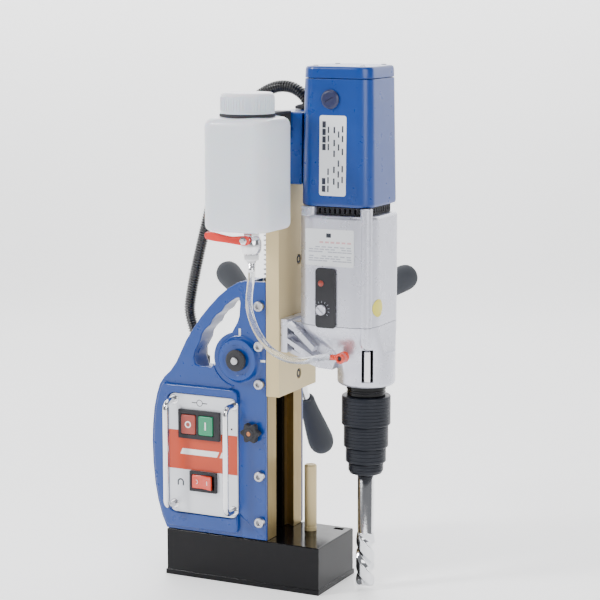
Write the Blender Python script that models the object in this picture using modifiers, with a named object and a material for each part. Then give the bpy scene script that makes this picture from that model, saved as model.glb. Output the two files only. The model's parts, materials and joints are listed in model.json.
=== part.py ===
"""Magnetic drill press, built as separate parts.

Run with: blender --background --python part.py
The named sizes are millimetres and the helpers turn them into metres.
The origin is the centre of the magnet's underside, +X points to the drill and +Z is up.
"""
import math

import bmesh
import bpy
from mathutils import Matrix, Vector

MM = 0.001
GAP = 0.3

# Magnet base
BASE_LENGTH = 168.0
BASE_WIDTH = 82.0
BASE_HEIGHT = 47.0
BASE_LIP = 5.0
COIL_DEPTH = 32.0

# Column, a channel with a dovetail slot that faces the drill
COLUMN_FRONT = 28.0
COLUMN_BACK = 3.0
COLUMN_HALF_WIDTH = 37.0
COLUMN_TOP = 300.0
SLOT_HALF_MOUTH = 19.0
SLOT_DEPTH = 10.0
SLOT_FLARE = 0.6
GIB_THICKNESS = 2.5
RACK_GROOVE_BACK = 9.5

# Feed: a pinion shaft along Y that drives the rack
FEED_X = 0.0
FEED_Z = 226.0
FEED_TEETH = 16
FEED_MODULE = 1.5
FEED_SHAFT_RADIUS = 8.0
BUSH_RADIUS = 13.7
ARM_ANGLES = (152.5, 32.5, -87.5)
ARM_REACH = 105.6
ARM_SPREAD = 65.0
ARM_START_Y = 66.0

# Control housing
HOUSING_NEAR = -41.0
HOUSING_FAR = 41.0
HOUSING_BOTTOM = 47.6
HOUSING_TOP = 202.0
HOUSING_FRONT = 28.0
CHEEK = 3.6
HANDLE_THICKNESS = 29.0
BOSS_RADIUS = 21.0
SCREW_HEIGHTS = (279.6, 240.5, 203.4, 112.2, 66.1)
SCREW_X = 22.0

# Carriage, gear case and motor
CARRIAGE_BACK = 28.3
CARRIAGE_FRONT = 42.0
CARRIAGE_BOTTOM = 191.7
CARRIAGE_TOP = 396.0
MOTOR_X = 97.0
CASE_WIDTH = 80.0
CASE_CORNER = 22.0
CASE_BOTTOM = 265.0
CASE_TOP = 370.0
CASE_WALL = 4.0
MOTOR_BOTTOM = 378.0
MOTOR_SEAM = 497.5
MOTOR_TOP = 509.0
MOTOR_WIDTH = 74.0
MOTOR_WIDTH_TOP = 70.0
MOTOR_CORNER = 14.0

# Gear train: eight teeth on the motor drive thirty-two, eleven drive thirty-one
SPINDLE_X = 115.5
MOTOR_TEETH = 8
LARGE_TEETH = 32
SMALL_TEETH = 11
SPINDLE_TEETH = 31
MESH_SLACK = 0.3

# Coolant bottle and valve
BOTTLE_X = 31.5
BOTTLE_Y = -83.5
BOTTLE_WIDTH = 65.5
BOTTLE_BOTTOM = 359.0
BOTTLE_TOP = 463.4
VALVE_X = 35.0
VALVE_Z = 344.0

# Turns that lay a flat outline, drawn in X and Y, onto another plane
FACE_NEAR = (math.pi / 2, 0, 0)

COLLECTIONS = {}


def clear_scene():
    for obj in list(bpy.data.objects):
        bpy.data.objects.remove(obj, do_unlink=True)


def make_collections():
    for key, name in (("parts", "magnetic_drill_press"), ("cutters", "cutters")):
        collection = bpy.data.collections.new(name)
        bpy.context.scene.collection.children.link(collection)
        COLLECTIONS[key] = collection


def material(name, colour, roughness, metallic=0.0):
    found = bpy.data.materials.get(name)
    if found:
        return found
    made = bpy.data.materials.new(name)
    made.use_nodes = True
    shader = made.node_tree.nodes["Principled BSDF"]
    shader.inputs["Base Color"].default_value = (*colour, 1.0)
    shader.inputs["Roughness"].default_value = roughness
    shader.inputs["Metallic"].default_value = metallic
    made.diffuse_color = (*colour, 1.0)
    return made


FINISHES = {
    "black_paint": ((0.012, 0.012, 0.014), 0.25, 0.0),
    "gold_zinc": ((0.62, 0.50, 0.27), 0.38, 0.9),
    "blue_paint": ((0.01, 0.12, 0.42), 0.35, 0.0),
    "panel_white": ((0.72, 0.73, 0.76), 0.4, 0.2),
    "chrome": ((0.8, 0.8, 0.82), 0.12, 1.0),
    "steel": ((0.5, 0.5, 0.52), 0.35, 1.0),
    "black_plastic": ((0.02, 0.02, 0.022), 0.5, 0.0),
    "red_plastic": ((0.7, 0.03, 0.02), 0.4, 0.0),
    "green_plastic": ((0.02, 0.25, 0.12), 0.4, 0.0),
    "silver_cast": ((0.62, 0.62, 0.66), 0.42, 0.6),
    "grip_rubber": ((0.04, 0.045, 0.05), 0.7, 0.0),
    "bronze": ((0.5, 0.3, 0.12), 0.35, 0.9),
    "copper": ((0.55, 0.22, 0.1), 0.4, 0.8),
    "board_green": ((0.02, 0.2, 0.08), 0.5, 0.0),
    "bottle_white": ((0.85, 0.87, 0.9), 0.35, 0.0),
    "clear_hose": ((0.8, 0.85, 0.88), 0.2, 0.0),
}


def add_object(name, mesh, finish, at=(0, 0, 0), turn=(0, 0, 0)):
    obj = bpy.data.objects.new(name, mesh)
    obj.location = Vector(at) * MM
    obj.rotation_euler = turn
    mesh.materials.clear()
    mesh.materials.append(material(finish, *FINISHES[finish]))
    COLLECTIONS["parts"].objects.link(obj)
    return obj


def mesh_from(bm, name):
    mesh = bpy.data.meshes.new(name)
    bm.to_mesh(mesh)
    bm.free()
    return mesh


def box(name, low, high, finish="steel"):
    """A box between two corners, with its origin at its middle."""
    size = [h - l for l, h in zip(low, high)]
    middle = [(h + l) / 2 for l, h in zip(low, high)]
    bm = bmesh.new()
    bmesh.ops.create_cube(bm, size=1.0)
    bmesh.ops.scale(bm, vec=[s * MM for s in size], verts=bm.verts)
    return add_object(name, mesh_from(bm, name), finish, middle)


AXIS_TURNS = {"X": (0, math.pi / 2, 0), "Y": (-math.pi / 2, 0, 0), "Z": (0, 0, 0)}


def cylinder(name, radius, start, end, at, axis="Z", finish="steel", sides=28, end_radius=None):
    """A cylinder or cone along an axis, from start to end on that axis."""
    bm = bmesh.new()
    top = radius if end_radius is None else end_radius
    bmesh.ops.create_cone(
        bm, cap_ends=True, segments=sides, radius1=radius * MM, radius2=top * MM,
        depth=(end - start) * MM,
    )
    place = list(at)
    place.insert("XYZ".index(axis), (start + end) / 2)
    return add_object(name, mesh_from(bm, name), finish, place, AXIS_TURNS[axis])


def curve_to_mesh(curve):
    """The evaluated curve as a mesh whose caps are welded to its walls."""
    holder = bpy.data.objects.new("curve_holder", curve)
    bpy.context.scene.collection.objects.link(holder)
    bpy.context.view_layer.update()
    graph = bpy.context.evaluated_depsgraph_get()
    mesh = bpy.data.meshes.new_from_object(holder.evaluated_get(graph))
    bpy.data.objects.remove(holder, do_unlink=True)
    bm = bmesh.new()
    bm.from_mesh(mesh)
    bmesh.ops.remove_doubles(bm, verts=bm.verts, dist=0.00001)
    bmesh.ops.recalc_face_normals(bm, faces=bm.faces)
    bm.to_mesh(mesh)
    bm.free()
    return mesh


def plate(name, outlines, thickness, at=(0, 0, 0), turn=(0, 0, 0), finish="steel"):
    """Flat outlines, the first solid and the others holes, extruded both ways from at."""
    curve = bpy.data.curves.new(name, "CURVE")
    curve.dimensions = "2D"
    curve.fill_mode = "BOTH"
    curve.extrude = thickness / 2 * MM
    for outline in outlines:
        spline = curve.splines.new("POLY")
        spline.points.add(len(outline) - 1)
        for point, (x, y) in zip(spline.points, outline):
            point.co = (x * MM, y * MM, 0, 1)
        spline.use_cyclic_u = True
    return add_object(name, curve_to_mesh(curve), finish, at, turn)


def tube(name, points, radius, finish, resolution=3):
    """A round rod or pipe that follows a list of points."""
    curve = bpy.data.curves.new(name, "CURVE")
    curve.dimensions = "3D"
    curve.bevel_depth = radius * MM
    curve.bevel_resolution = resolution
    curve.use_fill_caps = True
    spline = curve.splines.new("POLY")
    spline.points.add(len(points) - 1)
    for point, place in zip(spline.points, points):
        point.co = (*(Vector(place) * MM), 1)
    return add_object(name, curve_to_mesh(curve), finish)


def turned(name, profile, at, axis="Z", finish="steel", steps=28, bore=False):
    """A turned shape: radius and height pairs, from the top down on the outside."""
    mesh = bpy.data.meshes.new(name)
    verts = [(r * MM, 0, h * MM) for r, h in profile]
    edges = [(i, i + 1) for i in range(len(verts) - 1)]
    if bore:
        edges.append((len(verts) - 1, 0))
    mesh.from_pydata(verts, edges, [])
    obj = add_object(name, mesh, finish, at, AXIS_TURNS[axis])
    screw = obj.modifiers.new("Screw", "SCREW")
    screw.steps = steps
    screw.render_steps = steps
    screw.use_merge_vertices = True
    screw.merge_threshold = 0.00001
    return obj


def arc(centre, radius, start, end, steps=6):
    """Points on a circle between two angles in degrees."""
    points = []
    for i in range(steps + 1):
        angle = math.radians(start + (end - start) * i / steps)
        points.append((centre[0] + radius * math.cos(angle), centre[1] + radius * math.sin(angle)))
    return points


def rounded_box(width, height, radius, centre=(0, 0), steps=5):
    """The outline of a rectangle with round corners."""
    half_w = width / 2 - radius
    half_h = height / 2 - radius
    points = []
    for i, (sx, sy) in enumerate(((1, 1), (-1, 1), (-1, -1), (1, -1))):
        corner = (centre[0] + sx * half_w, centre[1] + sy * half_h)
        points += arc(corner, radius, 90 * i, 90 * i + 90, steps)
    return points


def gear_outline(teeth, module, phase=0.0, slim=0.42):
    """A gear's outline with tapered teeth that keep a little backlash."""
    pitch = teeth * module / 2
    step = 2 * math.pi / teeth
    shape = ((-0.68, -1.1), (-0.5, 0.0), (-0.2, 0.9), (0.2, 0.9), (0.5, 0.0), (0.68, -1.1))
    points = []
    for tooth in range(teeth):
        middle = phase + tooth * step
        for across, out in shape:
            angle = middle + across * slim * step
            radius = pitch + out * module
            points.append((radius * math.cos(angle), radius * math.sin(angle)))
    return points


def circle(radius, centre=(0, 0), sides=24):
    return [
        (centre[0] + radius * math.cos(2 * math.pi * i / sides),
         centre[1] + radius * math.sin(2 * math.pi * i / sides))
        for i in range(sides)
    ]


def inset(outline, distance):
    """The outline moved inwards, so that two joined shapes share no wall."""
    area = sum(a[0] * b[1] - b[0] * a[1] for a, b in zip(outline, outline[1:] + outline[:1]))
    side = math.copysign(distance, area)
    moved = []
    for before, here, after in zip(outline[-1:] + outline[:-1], outline, outline[1:] + outline[:1]):
        first = (Vector(here) - Vector(before)).normalized()
        second = (Vector(after) - Vector(here)).normalized()
        normal = (Vector((-first.y, first.x)) + Vector((-second.y, second.x))).normalized()
        stretch = max(normal.dot(Vector((-first.y, first.x))), 0.3)
        moved.append(tuple(Vector(here) + normal * side / stretch))
    return moved


def loft(name, rings, finish="steel"):
    """A closed solid through rings of equal point counts."""
    bm = bmesh.new()
    rows = [[bm.verts.new(Vector(p) * MM) for p in ring] for ring in rings]
    count = len(rows[0])
    for low, high in zip(rows, rows[1:]):
        for i in range(count):
            j = (i + 1) % count
            bm.faces.new((low[i], low[j], high[j], high[i]))
    bm.faces.new(list(reversed(rows[0])))
    bm.faces.new(rows[-1])
    bmesh.ops.recalc_face_normals(bm, faces=bm.faces)
    return add_object(name, mesh_from(bm, name), finish)


def combine(target, tool, operation):
    """Cut a tool from a part, or join it on, with an exact Boolean."""
    COLLECTIONS["parts"].objects.unlink(tool)
    COLLECTIONS["cutters"].objects.link(tool)
    tool.name = f"{target.name}_{operation.lower()}_{len(target.modifiers)}"
    tool.hide_render = True
    tool.display_type = "WIRE"
    step = target.modifiers.new(operation.title(), "BOOLEAN")
    step.operation = operation
    step.solver = "EXACT"
    step.object = tool
    return target


def cut(target, *tools):
    for tool in tools:
        combine(target, tool, "DIFFERENCE")
    return target


def join(target, *tools):
    for tool in tools:
        combine(target, tool, "UNION")
    return target


def bevel(obj, width, segments=2):
    step = obj.modifiers.new("Bevel", "BEVEL")
    step.width = width * MM
    step.segments = segments
    step.limit_method = "ANGLE"
    step.angle_limit = math.radians(40)
    return obj


def smooth_route(points, steps):
    """Points along a smooth curve through the route's own points."""
    route = [Vector(p) for p in points]
    route = [2 * route[0] - route[1]] + route + [2 * route[-1] - route[-2]]
    out = []
    for a, b, c, d in zip(route, route[1:], route[2:], route[3:]):
        for i in range(steps):
            t = i / steps
            out.append(
                0.5 * (2 * b + (c - a) * t + (2 * a - 5 * b + 4 * c - d) * t ** 2
                       + (3 * b - a - 3 * c + d) * t ** 3)
            )
    out.append(route[-2])
    return out


# Magnet base


def make_magnet():
    half_l = BASE_LENGTH / 2
    half_w = BASE_WIDTH / 2
    base = box("magnet_base", (-half_l, -half_w, 0), (half_l, half_w, BASE_HEIGHT), "black_paint")
    lip = box("lip", (-half_l - 0.8, -half_w - 0.8, 0), (half_l + 0.8, half_w + 0.8, BASE_LIP))
    bevel(base, 1.2)
    join(base, lip)
    ring = [rounded_box(150, 62, 12), rounded_box(98, 18, 6)]
    cut(base, plate("coil_space", ring, COIL_DEPTH * 2))
    cut(base, cylinder("lead_hole", 4, COIL_DEPTH - 2, BASE_HEIGHT + 2, (-58, 0)))
    cut(base, box("strap_slot", (67, 29, BASE_HEIGHT - 7), (77, 35, BASE_HEIGHT + 2)))
    coil = [rounded_box(149.4, 61.4, 11.7), rounded_box(98.6, 18.6, 6.3)]
    thickness = COIL_DEPTH - 2 * GAP - 0.4
    plate("magnet_coil", coil, thickness, (0, 0, 0.7 + thickness / 2), finish="copper")


def slot_half(x, inset=0.0):
    """Half the dovetail slot's width at x, less an inset."""
    return SLOT_HALF_MOUTH + (COLUMN_FRONT - x) * SLOT_FLARE - inset


def make_column():
    front = COLUMN_FRONT
    deep = front - SLOT_DEPTH
    half = [
        (front, slot_half(front)), (front, COLUMN_HALF_WIDTH), (COLUMN_BACK, COLUMN_HALF_WIDTH)
    ]
    inner = [(RACK_GROOVE_BACK, 14), (deep, 14), (deep, slot_half(deep))]
    outline = half + [(x, -y) for x, y in reversed(half)]
    outline += [(x, -y) for x, y in reversed(inner)] + inner
    length = COLUMN_TOP - BASE_HEIGHT - GAP
    column = plate("column_guide", [outline], length, (0, 0, COLUMN_TOP - length / 2),
                   finish="gold_zinc")
    cut(column, cylinder("feed_bore", BUSH_RADIUS + GAP, -60, 60, (FEED_X, FEED_Z), "Y"))
    for height in SCREW_HEIGHTS:
        cut(column, cylinder("screw_bore", 3.3, -45, -28, (SCREW_X, height), "Y", sides=16))
    cut(column, cylinder("clamp_bore", 3.3, -45, -24, (13.8, 155), "Y", sides=16))
    make_gib(deep)


def make_gib(deep):
    slope = Vector((-1, -SLOT_FLARE)).normalized()
    inward = Vector((slope.y, -slope.x))
    start = Vector((COLUMN_FRONT, -SLOT_HALF_MOUTH)) + slope * 1.0
    end = Vector((deep, -slot_half(deep))) - slope * 3.0
    near = inward * GAP
    far = inward * (GAP + GIB_THICKNESS)
    outline = [tuple(start + near), tuple(end + near), tuple(end + far), tuple(start + far)]
    length = COLUMN_TOP - BASE_HEIGHT - 4
    plate("gib_strip", [outline], length, (0, 0, BASE_HEIGHT + 1 + length / 2), finish="bronze")


# Control housing


def cheek_outline():
    """The near side's outline with the carry handle, in X and Z."""
    rear = [(-84, HOUSING_BOTTOM), (-93.6, 74.5), (-98.4, 105), (-99.7, 135), (-97.5, 166),
            (-92, 190), (-84, 202), (-76, 210), (-67, 225), (-59, 240), (-48, 257), (-36, 273),
            (-22, 287), (-8, 297), (4, 303)]
    return rear + [(HOUSING_FRONT - 2, 303), (HOUSING_FRONT, 301), (HOUSING_FRONT, HOUSING_BOTTOM)]


def handle_hole():
    """The finger opening, with a waved inner edge on the handle's side."""
    hole = [(-49, 218), (-51, 224), (-47, 236), (-43, 244), (-38, 254), (-30, 262), (-26, 268),
            (-17, 277), (-8, 284), (-1, 286), (0, 280), (-2, 262)]
    centre = (FEED_X - 3, FEED_Z)
    hole += arc(centre, BOSS_RADIUS + 5, 106, 198, 8)
    return hole + [(-28, 216.5), (-44, 216)]


def make_housing():
    cheek = plate("control_housing", [cheek_outline(), handle_hole()], CHEEK,
                  (0, HOUSING_NEAR + CHEEK / 2, 0), FACE_NEAR, "blue_paint")
    join_housing_body(cheek)
    cut_housing(cheek)


def join_housing_body(cheek):
    """The rear box, the handle bar, the far cheek and the block and bosses of the shaft."""
    depth = HOUSING_FAR - HOUSING_NEAR
    rear_edge = cheek_outline()[:7]
    back = rear_edge + [(COLUMN_BACK + 2, HOUSING_TOP), (COLUMN_BACK + 2, HOUSING_BOTTOM)]
    join(cheek, plate("rear_box", [inset(back, 0.1)], depth - 0.4, (0, 0, 0), FACE_NEAR))
    handle = cheek_outline()[5:15] + [(10, 303), (10, 292), (-1, 290)]
    handle += list(reversed(handle_hole()[:9])) + [(-47, 212), (-50, 200)]
    middle = HOUSING_NEAR + HANDLE_THICKNESS / 2
    join(cheek, plate("handle_bar", [inset(handle, 0.15)], HANDLE_THICKNESS - 0.6, (0, middle, 0),
                      FACE_NEAR))
    low = HOUSING_BOTTOM + 0.3
    far = [(-10, low), (HOUSING_FRONT, low), (HOUSING_FRONT, 252), (-14, 252), (-18.3, 238),
           (-19.4, 226), (-19.4, 199), (-10, 199)]
    join(cheek, plate("far_cheek", [far], CHEEK, (0, HOUSING_FAR - CHEEK / 2, 0), FACE_NEAR))
    at = (FEED_X, FEED_Z)
    join(cheek, cylinder("shaft_block", BOSS_RADIUS - 1, -38, 38, at, "Y"))
    join(cheek, box("block_foot", (-17, -38, 196), (COLUMN_BACK, 38, 226)))
    join(cheek, cylinder("near_boss", BOSS_RADIUS, -48, -39, at, "Y"))
    join(cheek, cylinder("far_boss", BOSS_RADIUS, 39, 52, at, "Y"))


def cut_housing(cheek):
    """The room for the column, the electrics, the shaft and the screws."""
    at = (FEED_X, FEED_Z)
    clear = COLUMN_HALF_WIDTH + GAP
    cut(cheek, box("column_space", (COLUMN_BACK - GAP, -clear, 40), (35, clear, 320)))
    room = [(-80, 56), (-89, 76), (-94, 105), (-95, 135), (-93, 164), (-87, 188), (-80, 195),
            (-4, 195), (-4, 56)]
    cut(cheek, plate("electric_space", [room], 72, (0, 0, 0), FACE_NEAR))
    cut(cheek, box("panel_opening", (-74, -45, 74), (-9, -30, 180)))
    cut(cheek, cylinder("shaft_bore", FEED_SHAFT_RADIUS + 0.4, -60, 60, at, "Y"))
    cut(cheek, cylinder("bush_space", BUSH_RADIUS + GAP, -37.1, 37.1, at, "Y"))
    for height in SCREW_HEIGHTS:
        cut(cheek, cylinder("screw_hole", 3.3, -45, -35, (SCREW_X, height), "Y", sides=16))
    cut(cheek, cylinder("clamp_hole", 3.3, -45, -35, (13.8, 155), "Y", sides=16))
    cut(cheek, cylinder("conduit_hole", 6.3, 190, 215, (-80, 20), sides=20))
    cut(cheek, cylinder("coil_lead_hole", 5, 40, 60, (-58, 0), sides=16))


def make_housing_fittings():
    for number, height in enumerate(SCREW_HEIGHTS, 1):
        make_cap_screw(f"housing_screw_{number}", height)
    lobes = []
    for i in range(36):
        angle = 2 * math.pi * i / 36
        radius = 9.2 + 1.1 * math.cos(6 * angle)
        lobes.append((radius * math.cos(angle), radius * math.sin(angle)))
    knob = plate("clamp_knob", [lobes], 8, (13.8, -45.5, 155), FACE_NEAR, "black_plastic")
    join(knob, cylinder("stem", 3, -42, -25, (13.8, 155), "Y", sides=16))
    for name, side in (("feed_bush_near", -1), ("feed_bush_far", 1)):
        ends = sorted((side * 36.9, side * 14.6))
        bush = cylinder(name, BUSH_RADIUS, *ends, (FEED_X, FEED_Z), "Y", "bronze")
        cut(bush, cylinder("bush_bore", FEED_SHAFT_RADIUS + 0.3, -60, 60, (FEED_X, FEED_Z), "Y"))
    post = [(0, 114.5), (5.2, 114.5), (6.2, 113.5), (6.2, 47.3), (0, 47.3)]
    turned("stop_post", post, (48.9, 15, 0), finish="gold_zinc")
    gland = [(6.6, 226), (10, 224.5), (10, 214), (12, 214), (12, 204.4), (6, 204.4), (6, 192),
             (4, 192), (4, 205), (6.6, 206)]
    turned("conduit_gland_lower", gland, (-80, 20, 0), finish="black_plastic", bore=True)
    make_circuit_board()


def make_cap_screw(name, height):
    at = (SCREW_X, height)
    screw = cylinder(name, 5, -46.6, -41.3, at, "Y", "black_paint", 20)
    join(screw, cylinder("shank", 3, -42, -29, at, "Y", sides=16))
    cut(screw, cylinder("socket", 2.9, -50, -43.6, at, "Y", sides=6))


def make_circuit_board():
    board = box("circuit_board", (-82, 8, 66), (-34, 10, 186), "board_green")
    join(board, box("relay", (-66, -8, 128), (-44, 8.5, 152)))
    join(board, cylinder("capacitor", 8, -12, 8.5, (-56, 78), "Y", sides=20))
    join(board, box("rectifier", (-80, -4, 100), (-62, 8.5, 116)))
    for x in (-78, -38):
        for z in (72, 180):
            join(board, cylinder("standoff", 2.5, 9.5, 35.7, (x, z), "Y", sides=10))


# Switch panel


def make_panel():
    holes = [rounded_box(77, 120, 8, (-40.5, 126.5)), rounded_box(42.6, 24.6, 1, (-43.5, 157)),
             rounded_box(27.6, 17.6, 1, (-39.5, 100))]
    plate("panel_plate", holes, 1.7, (0, -42.2, 0), FACE_NEAR, "panel_white")
    for name, x in (("guard_bar_left", -73), ("guard_bar_right", -6.5)):
        points = [(x, -43.4, 180), (x, -54, 180)]
        points += [(x, y, z) for y, z in arc((-54, 174), 6, 90, 180, 4)[1:]]
        points += [(x, y, z) for y, z in arc((-54, 80), 6, 180, 270, 4)]
        points += [(x, -43.4, 74)]
        tube(name, points, 2.8, "chrome")
    make_motor_switch()
    make_magnet_switch()


def make_motor_switch():
    frame = box("motor_switch_frame", (-66.5, -46.4, 142.5), (-20.5, -43.4, 171.5), "black_plastic")
    join(frame, box("body", (-64.5, -44, 145), (-22.5, -22, 169)))
    for name, x, finish in (("stop_button", -54.8, "red_plastic"),
                            ("start_button", -35.4, "green_plastic")):
        cut(frame, box("well", (x - 8.3, -50, 147), (x + 8.3, -32, 167)))
        button = box(name, (x - 7.9, -47.6, 147.4), (x + 7.9, -36, 166.6), finish)
        bevel(button, 0.8)


def make_magnet_switch():
    frame = box("magnet_switch_frame", (-54.5, -46.4, 89.8), (-24.5, -43.4, 110.2),
                "black_plastic")
    join(frame, box("body", (-52.7, -44, 92), (-26.3, -26, 108)))
    cut(frame, box("well", (-52, -50, 92.8), (-27, -35, 107.2)))
    half = [(0, -2.2), (11.3, -4.4), (11.3, -1.6), (8, 2.5), (4, 4.8), (0, 5.5)]
    outline = half + [(-x, y) for x, y in reversed(half[1:-1])]
    tilt = Matrix.Rotation(math.radians(-7), 2)
    outline = [tuple(tilt @ Vector(p)) for p in outline]
    plate("magnet_rocker", [outline], 13.6, (-39.5, -44.2, 100), finish="red_plastic")


# Feed


def make_feed():
    phase = math.pi / FEED_TEETH
    teeth = plate("pinion_shaft", [gear_outline(FEED_TEETH, FEED_MODULE, phase)], 27,
                  (FEED_X, 0, FEED_Z), FACE_NEAR, "steel")
    join(teeth, cylinder("shaft", FEED_SHAFT_RADIUS, -48.2, 62, (FEED_X, FEED_Z), "Y"))
    join(teeth, cylinder("stud", 3, -54.5, -47, (FEED_X, FEED_Z), "Y", sides=16))
    cap = cylinder("shaft_cap", 10.5, -52.6, -48.6, (FEED_X, FEED_Z), "Y", "black_plastic")
    cut(cap, cylinder("stud_hole", 3.3, -60, -40, (FEED_X, FEED_Z), "Y", sides=16))
    profile = [(0, 82), (9, 82), (14, 79), (19, 73), (20, 66), (20, 58), (18, 55.5), (0, 55.5)]
    hub = turned("capstan_hub", profile, (FEED_X, 0, FEED_Z), "Y", "silver_cast")
    cut(hub, cylinder("hub_bore", FEED_SHAFT_RADIUS + 0.3, 40, 62.4, (FEED_X, FEED_Z), "Y"))
    for number, degrees in enumerate(ARM_ANGLES, 1):
        make_arm(number, math.radians(degrees), hub)


def make_arm(number, angle, hub):
    """One arm and its grip, leaning away from the column."""
    lean = Vector((math.cos(angle) * ARM_REACH, ARM_SPREAD, math.sin(angle) * ARM_REACH))
    turn = lean.to_track_quat("Z", "Y").to_euler()
    root = (FEED_X + 12 * math.cos(angle), ARM_START_Y, FEED_Z + 12 * math.sin(angle))
    arm = [(0, 78), (5, 78), (5, 2), (0, 2)]
    rod = turned(f"feed_arm_{number}", arm, root, finish="chrome", steps=16)
    socket = turned("arm_socket", [(0, 30), (5.3, 30), (5.3, 1.6), (0, 1.6)], root, steps=16)
    grip = [(0, 137), (5, 136), (9.5, 133), (12.5, 128), (13.3, 122), (12.6, 112), (10, 90),
            (8, 72), (7.5, 62), (5.3, 62), (5.3, 78.4), (0, 78.4)]
    handle = turned(f"feed_grip_{number}", grip, root, finish="grip_rubber", steps=20)
    for obj in (rod, socket, handle):
        obj.rotation_euler = turn
    cut(hub, socket)


# Carriage


def make_carriage():
    back = COLUMN_FRONT - SLOT_DEPTH + 2
    near = GAP + GIB_THICKNESS + GAP
    flat = math.hypot(1, SLOT_FLARE)
    outline = [(CARRIAGE_FRONT, -41), (CARRIAGE_FRONT, 41), (CARRIAGE_BACK, 41),
               (CARRIAGE_BACK, slot_half(CARRIAGE_BACK, GAP * flat)),
               (back, slot_half(back, GAP * flat)), (back, -slot_half(back, near * flat)),
               (CARRIAGE_BACK, -slot_half(CARRIAGE_BACK, near * flat)), (CARRIAGE_BACK, -41)]
    length = CARRIAGE_TOP - CARRIAGE_BOTTOM
    middle = CARRIAGE_BOTTOM + length / 2
    slide = plate("carriage_slide", [outline], length, (0, 0, middle), finish="gold_zinc")
    for height in (320.8, 208.0):
        cut(slide, cylinder("screw_recess", 5, 38, 47, (3, height), "X", sides=20))
        join(slide, cylinder("screw_head", 4, 37, 41.4, (3, height), "X", sides=20))
    make_rack(back)


def make_rack(back):
    pitch = math.pi * FEED_MODULE
    line = FEED_X + FEED_TEETH * FEED_MODULE / 2 + MESH_SLACK
    root = line + 1.25 * FEED_MODULE
    tip = line - 0.85 * FEED_MODULE
    points = [(back - GAP, CARRIAGE_BOTTOM + 1), (root, CARRIAGE_BOTTOM + 1)]
    first = math.ceil((CARRIAGE_BOTTOM + 3 - FEED_Z) / pitch)
    last = math.floor((CARRIAGE_TOP - 3 - FEED_Z) / pitch)
    for tooth in range(first, last + 1):
        middle = FEED_Z + tooth * pitch
        points += [(root, middle - 0.32 * pitch), (tip, middle - 0.12 * pitch),
                   (tip, middle + 0.12 * pitch), (root, middle + 0.32 * pitch)]
    points += [(root, CARRIAGE_TOP - 1), (back - GAP, CARRIAGE_TOP - 1)]
    plate("rack", [points], 24, (0, 0, 0), FACE_NEAR, "steel")


# Gear case and motor


def ring_at(outline, z):
    return [(x, y, z) for x, y in outline]


def make_gear_case():
    centre = (MOTOR_X, 0)
    upper = plate("gear_case_upper", [rounded_box(CASE_WIDTH, CASE_WIDTH, CASE_CORNER, centre)],
                  CASE_TOP - CASE_BOTTOM - GAP, (0, 0, (CASE_TOP + CASE_BOTTOM + GAP) / 2),
                  finish="silver_cast")
    join(upper, plate("neck", [rounded_box(66, 66, 14, centre)], 9, (0, 0, CASE_TOP + 3.2)))
    join(upper, cylinder("boss", 5.7, CASE_BOTTOM + GAP + 0.02, CASE_TOP + 7, (129, -32)))
    room = rounded_box(CASE_WIDTH - 2 * CASE_WALL, CASE_WIDTH - 2 * CASE_WALL, 18, centre)
    cut(upper, plate("gear_space", [room], 180, (0, 0, 274)))
    cut(upper, cylinder("shaft_hole", 9, 355, 395, centre))
    cut(upper, cylinder("dial_hole", 2.8, -50, -30, (88, 281), "Y", sides=16))
    lower = loft("gear_case_lower", gear_case_rings(), "silver_cast")
    join(lower, cylinder("nose", 28, 205, 240, (SPINDLE_X, 0), sides=40))
    make_foot(lower)
    join(lower, cylinder("lower_boss", 5.7, 247, CASE_BOTTOM - 0.02, (129, -32)))
    cut(lower, cylinder("spindle_bore", 20, 200, 280, (SPINDLE_X, 0)))
    cut(lower, plate("lower_space", [rounded_box(66, 66, 16, centre)], 24, (0, 0, 266)))
    cut(lower, cylinder("fitting_bore", 2.6, -50, -10, (107.6, 236), "Y", sides=16))
    slot = box("drift_slot", (-5.5, -40, 205 + 6), (5.5, -10, 243))
    slot.rotation_euler = (0, 0, math.radians(26))
    slot.location = Vector((SPINDLE_X, 0, 227)) * MM + Vector((0.011, -0.0225, 0))
    cut(lower, slot)


def gear_case_rings():
    """Sections from the round nose up to the case's square seam."""
    steps = 5
    square = rounded_box(CASE_WIDTH, CASE_WIDTH, CASE_CORNER, (MOTOR_X, 0), steps)
    count = len(square)
    angles = [math.atan2(y, x - MOTOR_X) for x, y in square]
    round_ring = [(SPINDLE_X + 28 * math.cos(a), 28 * math.sin(a)) for a in angles]
    rings = []
    for z, share in ((222, 0.0), (236, 0.22), (248, 0.55), (256, 0.86), (CASE_BOTTOM, 1.0)):
        ring = [
            (round_ring[i][0] * (1 - share) + square[i][0] * share,
             round_ring[i][1] * (1 - share) + square[i][1] * share)
            for i in range(count)
        ]
        rings.append(ring_at(ring, z))
    return rings


def make_foot(lower):
    """The flange that bolts to the carriage, and the web that carries the case."""
    front = CARRIAGE_FRONT + GAP
    web = [(front, 235), (70, 227), (92, 214), (100, 240), (100, CASE_BOTTOM - 0.5),
           (56, CASE_BOTTOM - 0.5), (front + 9, 300), (front, 300)]
    join(lower, plate("web", [web], 56, (0, 0, 0), FACE_NEAR))
    for x in (54, 62):
        slot = box("web_slot", (-1.6, -40, -9), (1.6, -22, 9))
        slot.rotation_euler = (0, math.radians(35), 0)
        slot.location = Vector((x, -31, 250)) * MM
        cut(lower, slot)
    join(lower, box("flange", (front, -38, 236), (front + 7, 38, 268)))


def tapered(name, width, corner, bottom, top, top_width, finish):
    """A prism that narrows evenly from its bottom to its top."""
    centre = (MOTOR_X, 0)
    low = rounded_box(width, width, corner, centre)
    share = top_width / width
    high = [(MOTOR_X + (x - MOTOR_X) * share, y * share) for x, y in low]
    return loft(name, [ring_at(low, bottom), ring_at(high, top)], finish)


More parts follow.
